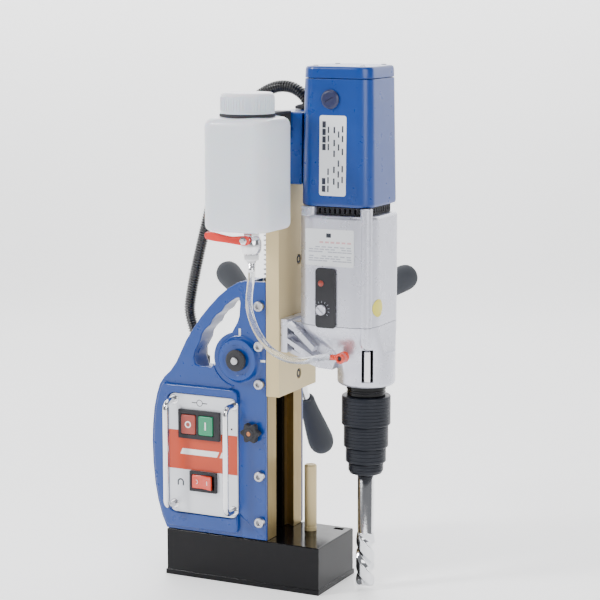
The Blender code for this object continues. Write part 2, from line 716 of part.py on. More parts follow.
def make_motor():
    low, high = MOTOR_WIDTH, MOTOR_WIDTH_TOP
    shell = tapered("motor_housing", low, MOTOR_CORNER, MOTOR_BOTTOM + GAP, MOTOR_SEAM, high,
                    "blue_paint")
    cut(shell, tapered("motor_space", low - 6, 12, MOTOR_BOTTOM - 4, MOTOR_SEAM + 4, high - 6,
                       "steel"))
    cap = tapered("motor_cap", high, MOTOR_CORNER, MOTOR_SEAM + GAP, MOTOR_TOP, high - 1.5,
                  "blue_paint")
    bevel(cap, 1.5)
    at = (93.5, 478.4)
    cut(shell, cylinder("brush_hole", 5.3, -45, -20, at, "Y"))
    brush = cylinder("brush_cap", 9, -39, -35.9, at, "Y", "black_plastic")
    join(brush, cylinder("brush_holder", 5, -37, -13.5, at, "Y", sides=16))
    stator = cylinder("stator", 30.5, 400, 450, (MOTOR_X, 0), finish="steel")
    cut(stator, cylinder("stator_bore", 21.5, 390, 460, (MOTOR_X, 0)))
    rear = [(29.5, -26), (59.0, -26), (59.0, 26), (29.5, 26)]
    rear = plate("rear_cover", [rear], 465 - 396.5, (0, 0, (465 + 396.5) / 2), finish="blue_paint")
    cut(rear, box("rear_space", (32, -23, 399), (65, 23, 462)))
    cut(rear, cylinder("conduit_entry", 6.3, 455, 470, (44.5, 16), sides=20))
    gland = [(6.6, 470), (9, 469.4), (9, 468.6), (11, 468.6), (11, 465.4), (6, 465.4), (6, 456),
             (4, 456), (4, 466), (6.6, 467)]
    turned("conduit_gland_upper", gland, (44.5, 16, 0), finish="black_plastic", bore=True)


def make_motor_front():
    label = [rounded_box(21, 57, 4, (91.5, 292)), circle(2.8, (88, 281))]
    plate("speed_plate", label, 2, (0, -41.4, 0), FACE_NEAR, "black_plastic")
    dial = cylinder("selector_dial", 5, -46, -42.7, (88, 281), "Y", "silver_cast")
    join(dial, cylinder("dial_stem", 2.4, -43, -32, (88, 281), "Y", sides=16))
    cut(dial, box("dial_slot", (83.9, -48, 280.3), (92.1, -45.2, 281.7)))
    fitting = cylinder("hose_fitting", 4.6, -45, -34, (107.6, 236), "Y", "red_plastic", 20)
    join(fitting, cylinder("stem", 2.3, -36, -22, (107.6, 236), "Y", sides=12))
    join(fitting, cylinder("barb", 2.8, 97, 106, (-41, 236), "X", sides=16))


def mesh_place():
    """Where the middle shaft stands so that both gear pairs mesh."""
    first = (MOTOR_TEETH + LARGE_TEETH) / 2 + MESH_SLACK
    second = (SMALL_TEETH + SPINDLE_TEETH) / 2 + MESH_SLACK
    apart = SPINDLE_X - MOTOR_X
    along = (first ** 2 - second ** 2 + apart ** 2) / (2 * apart)
    return MOTOR_X + along, math.sqrt(first ** 2 - along ** 2)


def mesh_phase(teeth, other_phase, other_teeth, bearing):
    """The turn that puts a gap of this gear where the other gear has a tooth."""
    step = 2 * math.pi / teeth
    other_step = 2 * math.pi / other_teeth
    offset = (bearing - other_phase) % other_step / other_step
    return (bearing + math.pi) + (0.5 + offset) * step


def make_gears():
    shaft_x, shaft_y = mesh_place()
    rotor = [(0, 492), (4, 492), (4, 480), (11, 480), (11, 458), (6, 458), (6, 450),
             (20.4, 448), (20.4, 402), (6, 400), (6, 394), (27, 392), (27, 384), (6, 384),
             (6, 360), (3.2, 358), (3.2, 338), (0, 338)]
    rotor = turned("armature", rotor, (MOTOR_X, 0, 0), finish="copper")
    join(rotor, plate("drive_pinion", [gear_outline(MOTOR_TEETH, 1.0)], 12, (MOTOR_X, 0, 347)))
    out = math.atan2(shaft_y, shaft_x - MOTOR_X)
    phase = mesh_phase(LARGE_TEETH, 0.0, MOTOR_TEETH, out)
    middle = plate("intermediate_gear", [gear_outline(LARGE_TEETH, 1.0, phase)], 8,
                   (shaft_x, shaft_y, 347), finish="steel")
    join(middle, cylinder("middle_shaft", 3, 286, 357, (shaft_x, shaft_y), sides=16))
    join(middle, plate("small_gear", [gear_outline(SMALL_TEETH, 1.0)], 19,
                       (shaft_x, shaft_y, 323)))
    toward = math.atan2(-shaft_y, SPINDLE_X - shaft_x)
    phase = mesh_phase(SPINDLE_TEETH, 0.0, SMALL_TEETH, toward)
    make_spindle(phase)
    bearing = cylinder("spindle_bearing", 19.6, 246, 258, (SPINDLE_X, 0), finish="steel")
    cut(bearing, cylinder("bearing_bore", 12.3, 240, 262, (SPINDLE_X, 0)))


def make_spindle(phase):
    profile = [(0, 336), (7, 336), (8, 334), (8, 310), (12, 308), (12, 206), (18.4, 204.6),
               (18.4, 194.6), (14, 194.6), (14, 121), (8.4, 121), (8.4, 182), (3.4, 182),
               (3.4, 216), (0, 216)]
    spindle = turned("spindle", profile, (SPINDLE_X, 0, 0), finish="steel")
    gear = gear_outline(SPINDLE_TEETH, 1.0, phase)
    join(spindle, plate("spindle_gear", [gear], 12, (SPINDLE_X, 0, 322)))
    sleeve = [(23.7, 194.2), (23.7, 165), (21.4, 164), (21.4, 143), (19.5, 142), (19.5, 128),
              (16.9, 127), (16.9, 119), (15, 116.5), (9.5, 116.5), (9.5, 120.6), (14.4, 120.6),
              (14.4, 194.2)]
    turned("chuck_sleeve", sleeve, (SPINDLE_X, 0, 0), finish="black_plastic", bore=True)
    make_drill()


def make_drill():
    """The shank, and a fluted cutter with a central bore for the pilot pin."""
    profile = [(8.1, 181.6), (8.1, 57), (3.3, 57), (3.3, 181.6)]
    drill = turned("core_drill", profile, (SPINDLE_X, 0, 0), finish="chrome", steps=24,
                   bore=True)
    lobes = []
    for i in range(32):
        angle = 2 * math.pi * i / 32
        lobes.append((angle, 9.1 if math.cos(2 * angle) > -0.35 else 6.2))
    rings = []
    for level in range(15):
        z = 57.4 - level * 52.6 / 14
        twist = level * math.radians(24)
        rings.append([
            (SPINDLE_X + r * math.cos(a + twist), r * math.sin(a + twist), z) for a, r in lobes
        ])
    flutes = loft("flutes", rings)
    cut(flutes, cylinder("pilot_bore", 3.3, 0, 70, (SPINDLE_X, 0), sides=24))
    join(drill, flutes)
    pin = [(0, 214), (3, 214), (3, 7), (0, 3)]
    turned("pilot_pin", pin, (SPINDLE_X, 0, 0), finish="steel", steps=16)


# Coolant


def make_bottle():
    centre = (BOTTLE_X, BOTTLE_Y)
    square = rounded_box(BOTTLE_WIDTH, BOTTLE_WIDTH, 12, centre)

    def scaled(share, z):
        return [(BOTTLE_X + (x - BOTTLE_X) * share, BOTTLE_Y + (y - BOTTLE_Y) * share, z)
                for x, y in square]

    rings = [scaled(0.93, BOTTLE_BOTTOM), scaled(1.0, BOTTLE_BOTTOM + 4),
             scaled(1.0, BOTTLE_TOP - 8), scaled(0.93, BOTTLE_TOP - 2), scaled(0.7, BOTTLE_TOP)]
    bottle = loft("bottle", rings, "bottle_white")
    join(bottle, cylinder("neck", 20.5, BOTTLE_TOP - 3, 481, centre))
    inner = [scaled(0.87, BOTTLE_BOTTOM + 3), scaled(0.94, BOTTLE_BOTTOM + 6),
             scaled(0.94, BOTTLE_TOP - 9), scaled(0.86, BOTTLE_TOP - 5)]
    cut(bottle, loft("bottle_space", inner))
    cut(bottle, cylinder("mouth", 18, BOTTLE_TOP - 12, 490, centre))
    cut(bottle, cylinder("outlet", 4.2, BOTTLE_BOTTOM - 5, BOTTLE_BOTTOM + 10,
                         (VALVE_X, BOTTLE_Y), sides=16))
    cap = [(0, 486), (23.5, 486), (25.5, 484), (25.5, 466.6), (21, 466.6), (21, 482.5), (0, 482.5)]
    turned("bottle_cap", cap, (*centre, 0), finish="bottle_white")
    holder = plate("bottle_holder", [circle(26, centre, 32), circle(21, centre, 32)], 2.5,
                   (0, 0, 465.1), finish="black_plastic")
    join(holder, box("holder_arm", (34, -60, 464), (48, -26.4, 466.2)))
    join(holder, box("holder_tab", (34, -29, 440), (48, -26.4, 466.2)))


def make_valve():
    at = (VALVE_X, BOTTLE_Y, 0)
    profile = [(0, 366), (4, 366), (4, 358.6), (8, 358.6), (8, 352), (6.5, 351), (9, 347),
               (9, 341), (6.5, 337), (7.5, 336), (7.5, 330), (3.4, 329), (3.0, 319), (0, 319)]
    body = turned("valve_body", profile, at, finish="chrome", steps=24)
    join(body, cylinder("valve_stem", 3, -96, -88, (VALVE_X, VALVE_Z + 6), "Y", sides=16))
    lever = box("valve_lever", (-4, -100, VALVE_Z + 3), (VALVE_X + 5, -96.4, VALVE_Z + 9.5),
                "red_plastic")
    bevel(lever, 1.0)
    box_end = box("lever_end", (-6, -101, VALVE_Z + 1.5), (3, -95, VALVE_Z + 11))
    join(lever, box_end)
    hose = [(VALVE_X, BOTTLE_Y, 318.6), (34.6, BOTTLE_Y, 311), (32.5, -83.2, 297), (32.2, -82, 282),
            (37.3, -79, 263.6), (46.8, -72, 246), (60, -62, 235), (73, -49, 232),
            (84, -42.5, 234), (91, -41.1, 235.7), (96.4, -41, 236)]
    tube("hose", smooth_route(hose, 4), 3.3, "clear_hose", 2)
    conduit = [(-80, 20, 226.4), (-85, 20, 240), (-89.5, 20, 258.4), (-86.7, 20, 279),
               (-82, 20, 300), (-77, 20, 320.4), (-70.6, 20, 344), (-63, 20, 371.6),
               (-53, 19, 402), (-41, 18, 433), (-28, 17, 456), (-14, 16, 472), (1, 16, 482),
               (15, 16, 486.5), (28, 16, 485.5), (38, 16, 480.5), (43.6, 16, 474.5), (44.5, 16, 470.4)]
    tube("conduit", smooth_route(conduit, 3), 6.0, "black_plastic", 2)


def main():
    clear_scene()
    make_collections()
    make_magnet()
    make_column()
    make_housing()
    make_housing_fittings()
    make_panel()
    make_feed()
    make_carriage()
    make_gear_case()
    make_motor()
    make_motor_front()
    make_gears()
    make_bottle()
    make_valve()


main()
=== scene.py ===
"""Looks for the magnetic drill press, laid out as a Blender add-on.

The pieces use the frame's own axes. Sizes in the code are millimetres.
"""
import json
import math

import bmesh
import bpy
from mathutils import Matrix, Vector


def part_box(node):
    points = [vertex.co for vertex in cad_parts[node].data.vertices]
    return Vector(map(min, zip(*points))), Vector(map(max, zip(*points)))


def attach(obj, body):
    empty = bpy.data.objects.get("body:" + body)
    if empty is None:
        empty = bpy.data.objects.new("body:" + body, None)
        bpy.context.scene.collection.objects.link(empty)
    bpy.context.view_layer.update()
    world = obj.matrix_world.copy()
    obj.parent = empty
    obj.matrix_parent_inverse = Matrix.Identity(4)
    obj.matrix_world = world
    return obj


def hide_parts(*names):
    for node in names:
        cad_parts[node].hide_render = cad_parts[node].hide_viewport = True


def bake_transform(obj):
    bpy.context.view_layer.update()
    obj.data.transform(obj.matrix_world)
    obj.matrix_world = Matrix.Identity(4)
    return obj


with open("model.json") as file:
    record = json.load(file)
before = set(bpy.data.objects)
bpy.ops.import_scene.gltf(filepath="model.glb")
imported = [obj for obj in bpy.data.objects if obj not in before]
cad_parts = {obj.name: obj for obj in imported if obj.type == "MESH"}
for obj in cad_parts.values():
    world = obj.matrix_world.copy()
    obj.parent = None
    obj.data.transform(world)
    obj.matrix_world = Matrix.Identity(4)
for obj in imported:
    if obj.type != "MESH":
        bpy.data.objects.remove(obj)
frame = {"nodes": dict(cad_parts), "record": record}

bl_info = {
    "name": "Magnetic drill press",
    "version": (1, 0, 0),
    "blender": (4, 5, 0),
    "location": "View3D > Sidebar > Drill press",
    "description": "Builds the finished pieces and the studio of a magnetic drill press",
    "category": "Add Mesh",
}

MM = 0.001
SLIDEWAY_HALF = 18.6
SHAFT_Z = 226.0
SPINDLE_X = 115.5
CASE_CENTRE = (97.0, 0.0)
PILASTER = (129, -32)
NEAR_SIDE, FAR_SIDE = -41.0, 41.0
BLUE, SILVER = "blue_enamel", "silver_paint"
DIAL_X, DIAL_Z = 88, 281
CLAMP_X, CLAMP_Z = 13.8, 155
PRINT = 0.16
SPINDLE_TURN = Matrix.Rotation(math.radians(26), 4, "Z")
ARM_TURNS = (152.5, 32.5, -87.5)
ARM_ROOT, ARM_SPREAD, ARM_LEAN = 12, 105.6, 65.0
CAMERA_PLACE = (0.86386, -1.67248, 0.58140)
STUDIO_AIM = Vector((0.03, 0, 0.25))
# Each light's place in metres, its width and its share of the key light's power.
LIGHTS = {
    "key": ((-1.2, -1.3, 1.5), 0.45, 1.0),
    "fill": ((1.5, -1.0, 0.9), 1.3, 0.45),
    "back": ((-0.6, 1.5, 1.5), 1.2, 0.4),
    "top": ((0.1, 0.0, 1.9), 1.2, 0.35),
}
FACE_NEAR = Matrix.Rotation(math.pi / 2, 4, "X")
ALONG_Y = Matrix.Rotation(-math.pi / 2, 4, "X")
UPRIGHT = Matrix.Identity(4)


# Reading the frame


def span(node):
    """A node's box in millimetres: x, y and z, each as a low and a high value."""
    low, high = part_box(node)
    return [(l / MM, h / MM) for l, h in zip(low, high)]


def face(node):
    """A flat node from the near side: width, height, centre, and near and far depth."""
    (x0, x1), (y0, y1), (z0, z1) = span(node)
    return x1 - x0, z1 - z0, ((x0 + x1) / 2, (z0 + z1) / 2), y0, y1


def middle(node):
    return Vector([(l + h) / 2 for l, h in span(node)])


# Properties that a user would change


def colour(name, description, value):
    return bpy.props.FloatVectorProperty(
        name=name, description=description, subtype="COLOR", size=3, min=0.0, max=1.0,
        default=value,
    )


def size(name, description, value):
    return bpy.props.FloatProperty(name=name, description=description, default=value, min=0.0)


class DrillPressColours(bpy.types.PropertyGroup):
    """Paints and plastics"""

    blue: colour("Blue", "Enamel of the housing and the motor", (0.0, 0.040, 0.235))
    gold: colour("Gold", "Yellow chromate on the column and carriage", (0.31, 0.225, 0.085))
    silver: colour("Silver", "Paint of the gear case", (0.60, 0.61, 0.69))
    black: colour("Black", "Enamel of the magnet", (0.003, 0.003, 0.004))
    orange: colour("Orange", "Band on the switch panel", (0.52, 0.050, 0.012))
    red: colour("Red", "Switches and the valve's lever", (0.50, 0.030, 0.020))
    green: colour("Green", "Start button", (0.022, 0.050, 0.046))
    rubber: colour("Rubber", "Grips of the feed handle", (0.014, 0.017, 0.023))
    bottle: colour("Bottle", "Polyethylene of the coolant bottle", (0.72, 0.74, 0.80))


class DrillPressSizes(bpy.types.PropertyGroup):
    """Edges and ribs in millimetres"""

    cast_edge: size("Cast edge", "Rounding of the housing's cast edges, in millimetres", 3.5)
    rim_height: size("Rim height", "How far the control box stands proud, in millimetres", 4.2)
    rib_pitch: size("Rib pitch", "Distance between the conduit's ribs, in millimetres", 2.6)
    groove_pitch: size("Groove pitch", "Distance between sleeve grooves, in millimetres", 3.4)


class DrillPressStudio(bpy.types.PropertyGroup):
    """Camera and light"""

    azimuth: size("Azimuth", "Camera's turn round the machine, in degrees", 26.1)
    pitch: size("Pitch", "Camera's tilt down, in degrees", 9.16)
    lens: size("Lens", "Focal length in millimetres on a 36 mm frame", 116.5)
    key: size("Key light", "Power of the key light in watts", 40.0)
    world: size("World", "Strength of the pale surroundings", 0.26)


# Materials


def shader_of(material):
    return material.node_tree.nodes["Principled BSDF"]


class Weave:
    """Links nodes into one material, with Object coordinates as its start."""

    def __init__(self, name):
        self.material = bpy.data.materials.new(name)
        self.material.use_nodes = True
        self.tree = self.material.node_tree
        self.shader = shader_of(self.material)
        self.coords = self.add("ShaderNodeTexCoord").outputs["Object"]

    def add(self, kind, **values):
        node = self.tree.nodes.new(kind)
        for key, value in values.items():
            setattr(node, key, value)
        return node

    def link(self, start, end):
        self.tree.links.new(start, end)

    def stretched(self, scale):
        mapping = self.add("ShaderNodeMapping")
        mapping.inputs["Scale"].default_value = scale
        self.link(self.coords, mapping.inputs["Vector"])
        return mapping.outputs["Vector"]

    def noise(self, scale, detail=3.0, start=None):
        node = self.add("ShaderNodeTexNoise")
        node.inputs["Scale"].default_value = scale
        node.inputs["Detail"].default_value = detail
        self.link(start or self.coords, node.inputs["Vector"])
        return node.outputs["Fac"]

    def remap(self, value, low, high, start=0.3, end=0.7):
        node = self.add("ShaderNodeMapRange")
        for key, number in (("From Min", start), ("From Max", end), ("To Min", low),
                            ("To Max", high)):
            node.inputs[key].default_value = number
        self.link(value, node.inputs["Value"])
        return node.outputs["Result"]

    def mix(self, factor, first, second):
        """Two colours mixed; each is a colour or an output."""
        node = self.add("ShaderNodeMix", data_type="RGBA")
        self.link(factor, node.inputs[0])
        for socket, value in ((node.inputs[6], first), (node.inputs[7], second)):
            if isinstance(value, bpy.types.NodeSocket):
                self.link(value, socket)
            else:
                socket.default_value = (*value, 1.0)
        return node.outputs[2]

    def bump(self, height, strength, distance=0.0002):
        node = self.add("ShaderNodeBump")
        node.inputs["Strength"].default_value = strength
        node.inputs["Distance"].default_value = distance
        self.link(height, node.inputs["Height"])
        self.link(node.outputs["Normal"], self.shader.inputs["Normal"])


def shade(value, factor):
    return tuple(min(1.0, c * factor) for c in value)


def painted(name, value, roughness, metallic=0.0, tint=0.10, peel=420.0, bump=0.06,
            wear=None, stretch=None, **sockets):
    """A finish with uneven tone and gloss, a fine surface and faint rub marks.

    The marks' colour is given, or a factor on the finish's own.
    """
    weave = Weave(name)
    start = weave.stretched(stretch) if stretch else weave.coords
    tone = weave.noise(14.0, 3.0)
    base = weave.mix(weave.remap(tone, 0.0, 1.0), shade(value, 1 - tint), shade(value, 1 + tint))
    if wear:
        rubs = weave.noise(9.0, 9.0, weave.stretched((1.0, 1.0, 2.2)))
        mark = shade(value, wear) if isinstance(wear, float) else wear
        base = weave.mix(weave.remap(rubs, 0.0, 0.6, 0.70, 0.82), base, mark)
    weave.link(base, weave.shader.inputs["Base Color"])
    gloss = weave.remap(weave.noise(90.0, 5.0, start), max(0.02, roughness - 0.025),
                        roughness + 0.035)
    weave.link(gloss, weave.shader.inputs["Roughness"])
    weave.shader.inputs["Metallic"].default_value = metallic
    weave.bump(weave.noise(peel, 2.0, start), bump)
    for key, number in sockets.items():
        weave.shader.inputs[key.replace("_", " ")].default_value = number
    return weave.material


def gold_zinc(name, oiled):
    """Chromated steel with drawn lines, and with painted shade that darkens the slideway's recess.
    """
    value = bpy.context.scene.press_colours.gold
    weave = Weave(name)
    lines = weave.noise(60.0, 6.0, weave.stretched((22.0, 22.0, 0.6)))
    drift = weave.noise(16.0, 3.0, weave.stretched((2.0, 2.0, 0.7)))
    base = weave.mix(weave.remap(drift, 0.0, 1.0), shade(value, 0.86), shade(value, 1.12))
    base = weave.mix(weave.remap(lines, 0.0, 0.45), base, shade(value, 0.72))
    # Painted shade: inside the dovetail slot the colour turns near black, standing in for the
    # slot's shadow.
    if oiled:
        parts = weave.add("ShaderNodeSeparateXYZ")
        weave.link(weave.coords, parts.inputs[0])
        across = weave.add("ShaderNodeMath", operation="ABSOLUTE")
        weave.link(parts.outputs["Y"], across.inputs[0])
        inside = weave.remap(across.outputs[0], 1.0, 0.0, SLIDEWAY_HALF * MM,
                             (SLIDEWAY_HALF + 0.8) * MM)
        base = weave.mix(inside, base, (0.016, 0.013, 0.010))
    weave.link(base, weave.shader.inputs["Base Color"])
    weave.link(weave.remap(lines, 0.30, 0.46), weave.shader.inputs["Roughness"])
    weave.shader.inputs["Metallic"].default_value = 0.8
    weave.bump(lines, 0.10)
    return weave.material


INK = dict(peel=700.0, bump=0.04)

# For each finish: its colour, or the property that holds it, its roughness, and its details.
FINISHES = {
    "blue_enamel": ("blue", 0.29, dict(tint=0.03, bump=0.03, Coat_Weight=0.2,
                                       Coat_Roughness=0.1)),
    "silver_paint": ("silver", 0.28, dict(metallic=0.7, tint=0.025, peel=700.0, bump=0.05,
                                          wear=1.3, Coat_Weight=0.25, Coat_Roughness=0.2)),
    "black_enamel": ("black", 0.15, dict(tint=0.15, peel=300.0, bump=0.025,
                                         wear=(0.008, 0.008, 0.010), Specular_IOR_Level=0.2)),
    "black_plastic": ((0.006, 0.006, 0.007), 0.42, dict(
        tint=0.25, peel=1400.0, bump=0.16, wear=(0.014, 0.014, 0.016), Specular_IOR_Level=0.25)),
    "conduit_plastic": ((0.010, 0.010, 0.012), 0.27, dict(tint=0.2, peel=700.0, bump=0.03,
                                                          Coat_Weight=0.4)),
    "black_oxide": ((0.010, 0.012, 0.018), 0.40, dict(
        metallic=0.2, tint=0.2, peel=600.0, bump=0.10, wear=(0.025, 0.027, 0.032),
        stretch=(1.0, 1.0, 9.0), Specular_IOR_Level=0.3)),
    "black_chrome": ((0.16, 0.17, 0.19), 0.20, dict(metallic=0.9, tint=0.15, peel=400.0,
                                                    bump=0.05, wear=(0.6, 0.6, 0.62))),
    "chrome": ((0.86, 0.87, 0.89), 0.10, dict(metallic=1.0, tint=0.03, peel=120.0, bump=0.02)),
    "bright_steel": ((0.70, 0.71, 0.73), 0.16, dict(
        metallic=1.0, tint=0.06, peel=260.0, bump=0.04, stretch=(1.0, 1.0, 6.0))),
    "machined_steel": ((0.52, 0.52, 0.54), 0.30, dict(
        metallic=1.0, tint=0.08, peel=500.0, bump=0.08, stretch=(1.0, 1.0, 14.0))),
    "copper_winding": ((0.50, 0.19, 0.08), 0.38, dict(
        metallic=0.9, tint=0.15, peel=900.0, bump=0.2, stretch=(1.0, 1.0, 20.0))),
    "bronze": ((0.48, 0.29, 0.11), 0.33, dict(metallic=0.95, peel=500.0)),
    "board_green": ((0.015, 0.17, 0.06), 0.38, dict(tint=0.15, peel=300.0)),
    "red_plastic": ("red", 0.30, dict(tint=0.07, peel=500.0, bump=0.05, Coat_Weight=0.3)),
    "lit_red": ((0.68, 0.045, 0.015), 0.22, dict(tint=0.06, peel=300.0, bump=0.04,
                                                 Coat_Weight=0.5)),
    "dull_red": ((0.33, 0.055, 0.04), 0.34, dict(tint=0.08, peel=500.0, bump=0.05)),
    "green_plastic": ("green", 0.32, dict(peel=500.0, bump=0.05)),
    "navy_plastic": ((0.018, 0.022, 0.075), 0.36, dict(tint=0.2, peel=900.0, bump=0.10)),
    "grip_rubber": ("rubber", 0.50, dict(tint=0.25, peel=1100.0, bump=0.22, wear=1.8,
                                         Specular_IOR_Level=0.3)),
    "panel_white": ((0.74, 0.76, 0.80), 0.30, dict(metallic=0.25, tint=0.03, peel=600.0,
                                                   bump=0.05, stretch=(0.4, 1.0, 12.0))),
    "label_white": ((0.80, 0.82, 0.84), 0.32, dict(tint=0.02, peel=700.0, bump=0.03)),
    "orange_print": ("orange", 0.34, dict(INK, tint=0.05)),
    "white_print": ((0.88, 0.88, 0.86), 0.4, dict(INK, tint=0.04)),
    "dark_print": ((0.02, 0.022, 0.035), 0.45, dict(INK, tint=0.2)),
    "grey_print": ((0.42, 0.43, 0.50), 0.45, dict(INK, tint=0.1)),
    "pink_print": ((0.72, 0.42, 0.44), 0.45, dict(INK, tint=0.1)),
    "yellow_print": ((0.70, 0.62, 0.08), 0.4, dict(INK, tint=0.08)),
    "bottle_plastic": ("bottle", 0.34, dict(
        tint=0.02, peel=160.0, bump=0.05, Subsurface_Weight=0.35, Subsurface_Scale=0.006,
        Coat_Weight=0.15)),
    "clear_tube": ((0.96, 0.98, 0.99), 0.04, dict(
        tint=0.01, peel=200.0, bump=0.03, Transmission_Weight=0.92, IOR=1.33, Coat_Weight=0.4)),
}


def finish(name):
    """The material of that name, made when it is first asked for."""
    found = bpy.data.materials.get(name)
    if found:
        return found
    # A gold_zinc name with the slot prefix gets painted shade in its slideway.
    if name.endswith("gold_zinc"):
        return gold_zinc(name, name.startswith("oiled"))
    value, roughness, details = FINISHES[name]
    if isinstance(value, str):
        value = getattr(bpy.context.scene.press_colours, value)
    return painted(name, value, roughness, **details)


# Shapes


def new_object(name, data):
    obj = bpy.data.objects.new(name, data)
    bpy.context.scene.collection.objects.link(obj)
    return obj


def new_mesh(name, bm):
    mesh = bpy.data.meshes.new(name)
    bm.to_mesh(mesh)
    bm.free()
    return mesh


def evaluated(obj):
    """The object's mesh or curve as a plain mesh, with its modifiers run."""
    bpy.context.view_layer.update()
    graph = bpy.context.evaluated_depsgraph_get()
    return bpy.data.meshes.new_from_object(obj.evaluated_get(graph))


def smooth(obj, angle):
    obj.data.shade_smooth()
    obj.data.set_sharp_from_angle(angle=math.radians(angle))
    return obj


def weld(bm, distance):
    bmesh.ops.remove_doubles(bm, verts=bm.verts, dist=distance * MM)


def add_mesh(name, mesh, material, place=UPRIGHT):
    """A mesh as a piece at the origin, with its place in its vertices."""
    mesh.transform(place)
    mesh.name = name
    mesh.materials.clear()
    mesh.materials.append(finish(material))
    return new_object(name, mesh)


def at(x, y, z, turn=UPRIGHT):
    return Matrix.Translation(Vector((x, y, z)) * MM) @ turn


def facing(x, z, y=0):
    """A place whose own Z points out of the near side."""
    return at(x, y, z, FACE_NEAR)


def bake(obj):
    """Live modifiers made part of the plain mesh."""
    mesh = evaluated(obj)
    old = obj.data
    obj.modifiers.clear()
    obj.data = mesh
    mesh.name = obj.name
    if not old.users:
        bpy.data.meshes.remove(old)
    return obj


def soften(obj, width, segments=3, angle=30.0, shading=35.0):
    """Round the sharp edges, then shade smoothly up to the given angle."""
    flatten(obj)
    if width:
        step = obj.modifiers.new("Edges", "BEVEL")
        step.width = width * MM
        step.segments = segments
        step.limit_method = "ANGLE"
        step.angle_limit = math.radians(angle)
        step.use_clamp_overlap = True
        step.miter_outer = "MITER_ARC"
        bake(obj)
    smooth(obj, shading)
    normals = obj.modifiers.new("Normals", "WEIGHTED_NORMAL")
    normals.keep_sharp = True
    return bake(obj)


def refined(node, name, material, width, segments=3, angle=30.0, body=None):
    """A rounded copy of a CAD node that stands for it."""
    bm = bmesh.new()
    bm.from_mesh(frame["nodes"][node].data)
    weld(bm, 0.02)
    bmesh.ops.dissolve_limit(bm, angle_limit=math.radians(1.5), verts=bm.verts, edges=bm.edges)
    obj = soften(add_mesh(name, new_mesh(name, bm), material), width, segments, angle)
    return settle(obj, node, body)


def settle(obj, *nodes, body=None, slot=None):
    """A finished piece rides on its body and stands for its nodes."""
    nodes = [n for n in nodes if n]
    home = body or (body_of(nodes[0]) if nodes else "stand")
    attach(obj, home)
    if nodes:
        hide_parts(*nodes)
        slot = slot or slot_of(nodes[0])
    return obj


def body_of(node):
    for name, nodes in frame["record"]["behaviour"]["bodies"].items():
        if node in nodes:
            return name
    raise ValueError(f"{node} is in no body")


def slot_of(node):
    for entry in frame["record"]["subparts"]:
        if entry["node"] == node:
            return entry["material_slot"]
    raise ValueError(f"{node} has no slot")


def box(name, low, high, material):
    bm = bmesh.new()
    bmesh.ops.create_cube(bm, size=1.0)
    spread = [(h - l) * MM for l, h in zip(low, high)]
    bmesh.ops.scale(bm, vec=spread, verts=bm.verts)
    bmesh.ops.translate(bm, vec=(Vector(low) + Vector(high)) / 2 * MM, verts=bm.verts)
    return add_mesh(name, new_mesh(name, bm), material)


def arc(centre, radius, start, end, steps=8):
    points = []
    for i in range(steps + 1):
        angle = math.radians(start + (end - start) * i / steps)
        points.append((centre[0] + radius * math.cos(angle), centre[1] + radius * math.sin(angle)))
    return points


def circle(radius, centre=(0, 0), sides=48):
    return arc(centre, radius, 0, 360, sides)[:-1]


def rounded_box(width, height, radius, centre=(0, 0), steps=10):
    half_w, half_h = width / 2 - radius, height / 2 - radius
    points = []
    for i, (sx, sy) in enumerate(((1, 1), (-1, 1), (-1, -1), (1, -1))):
        corner = (centre[0] + sx * half_w, centre[1] + sy * half_h)
        points += arc(corner, radius, 90 * i, 90 * i + 90, steps)
    return points


def curve_mesh(curve):
    """A curve as a mesh whose caps are welded to its walls."""
    holder = new_object("curve_holder", curve)
    mesh = evaluated(holder)
    bpy.data.objects.remove(holder, do_unlink=True)
    bm = bmesh.new()
    bm.from_mesh(mesh)
    weld(bm, 0.01)
    bmesh.ops.recalc_face_normals(bm, faces=bm.faces)
    bm.to_mesh(mesh)
    bm.free()
    return mesh


def plate(name, outlines, thickness, place, material, rounding=0.0, steps=3):
    """Flat outlines, solid then holes, extruded both ways, with rounded rims."""
    curve = bpy.data.curves.new(name, "CURVE")
    curve.dimensions = "2D"
    curve.fill_mode = "BOTH"
    curve.extrude = (thickness / 2 - rounding) * MM
    curve.bevel_depth = rounding * MM
    curve.bevel_resolution = steps
    curve.offset = -rounding * MM
    for outline in outlines:
        spline = curve.splines.new("POLY")
        spline.points.add(len(outline) - 1)
        for point, (x, y) in zip(spline.points, outline):
            point.co = (x * MM, y * MM, 0, 1)
        spline.use_cyclic_u = True
    return add_mesh(name, curve_mesh(curve), material, place)


def polyline(name, points):
    curve = bpy.data.curves.new(name, "CURVE")
    curve.dimensions = "3D"
    spline = curve.splines.new("POLY")
    spline.points.add(len(points) - 1)
    for point, place in zip(spline.points, points):
        point.co = (*(Vector(place) * MM), 1)
    return curve


def slab(name, outlines, thickness, y, material, rounding=0.0, steps=3):
    """A plate that faces the near side, with its middle at the given depth."""
    return plate(name, outlines, thickness, facing(0, 0, y), material, rounding, steps)


def rod(name, points, radius, material, resolution=6):
    curve = polyline(name, points)
    curve.bevel_depth = radius * MM
    curve.bevel_resolution = resolution
    curve.use_fill_caps = True
    return smooth(add_mesh(name, curve_mesh(curve), material), 50)


def drum(radius, top, bottom):
    """The profile of a plain cylinder."""
    return [(0, top), (radius, top), (radius, bottom), (0, bottom)]


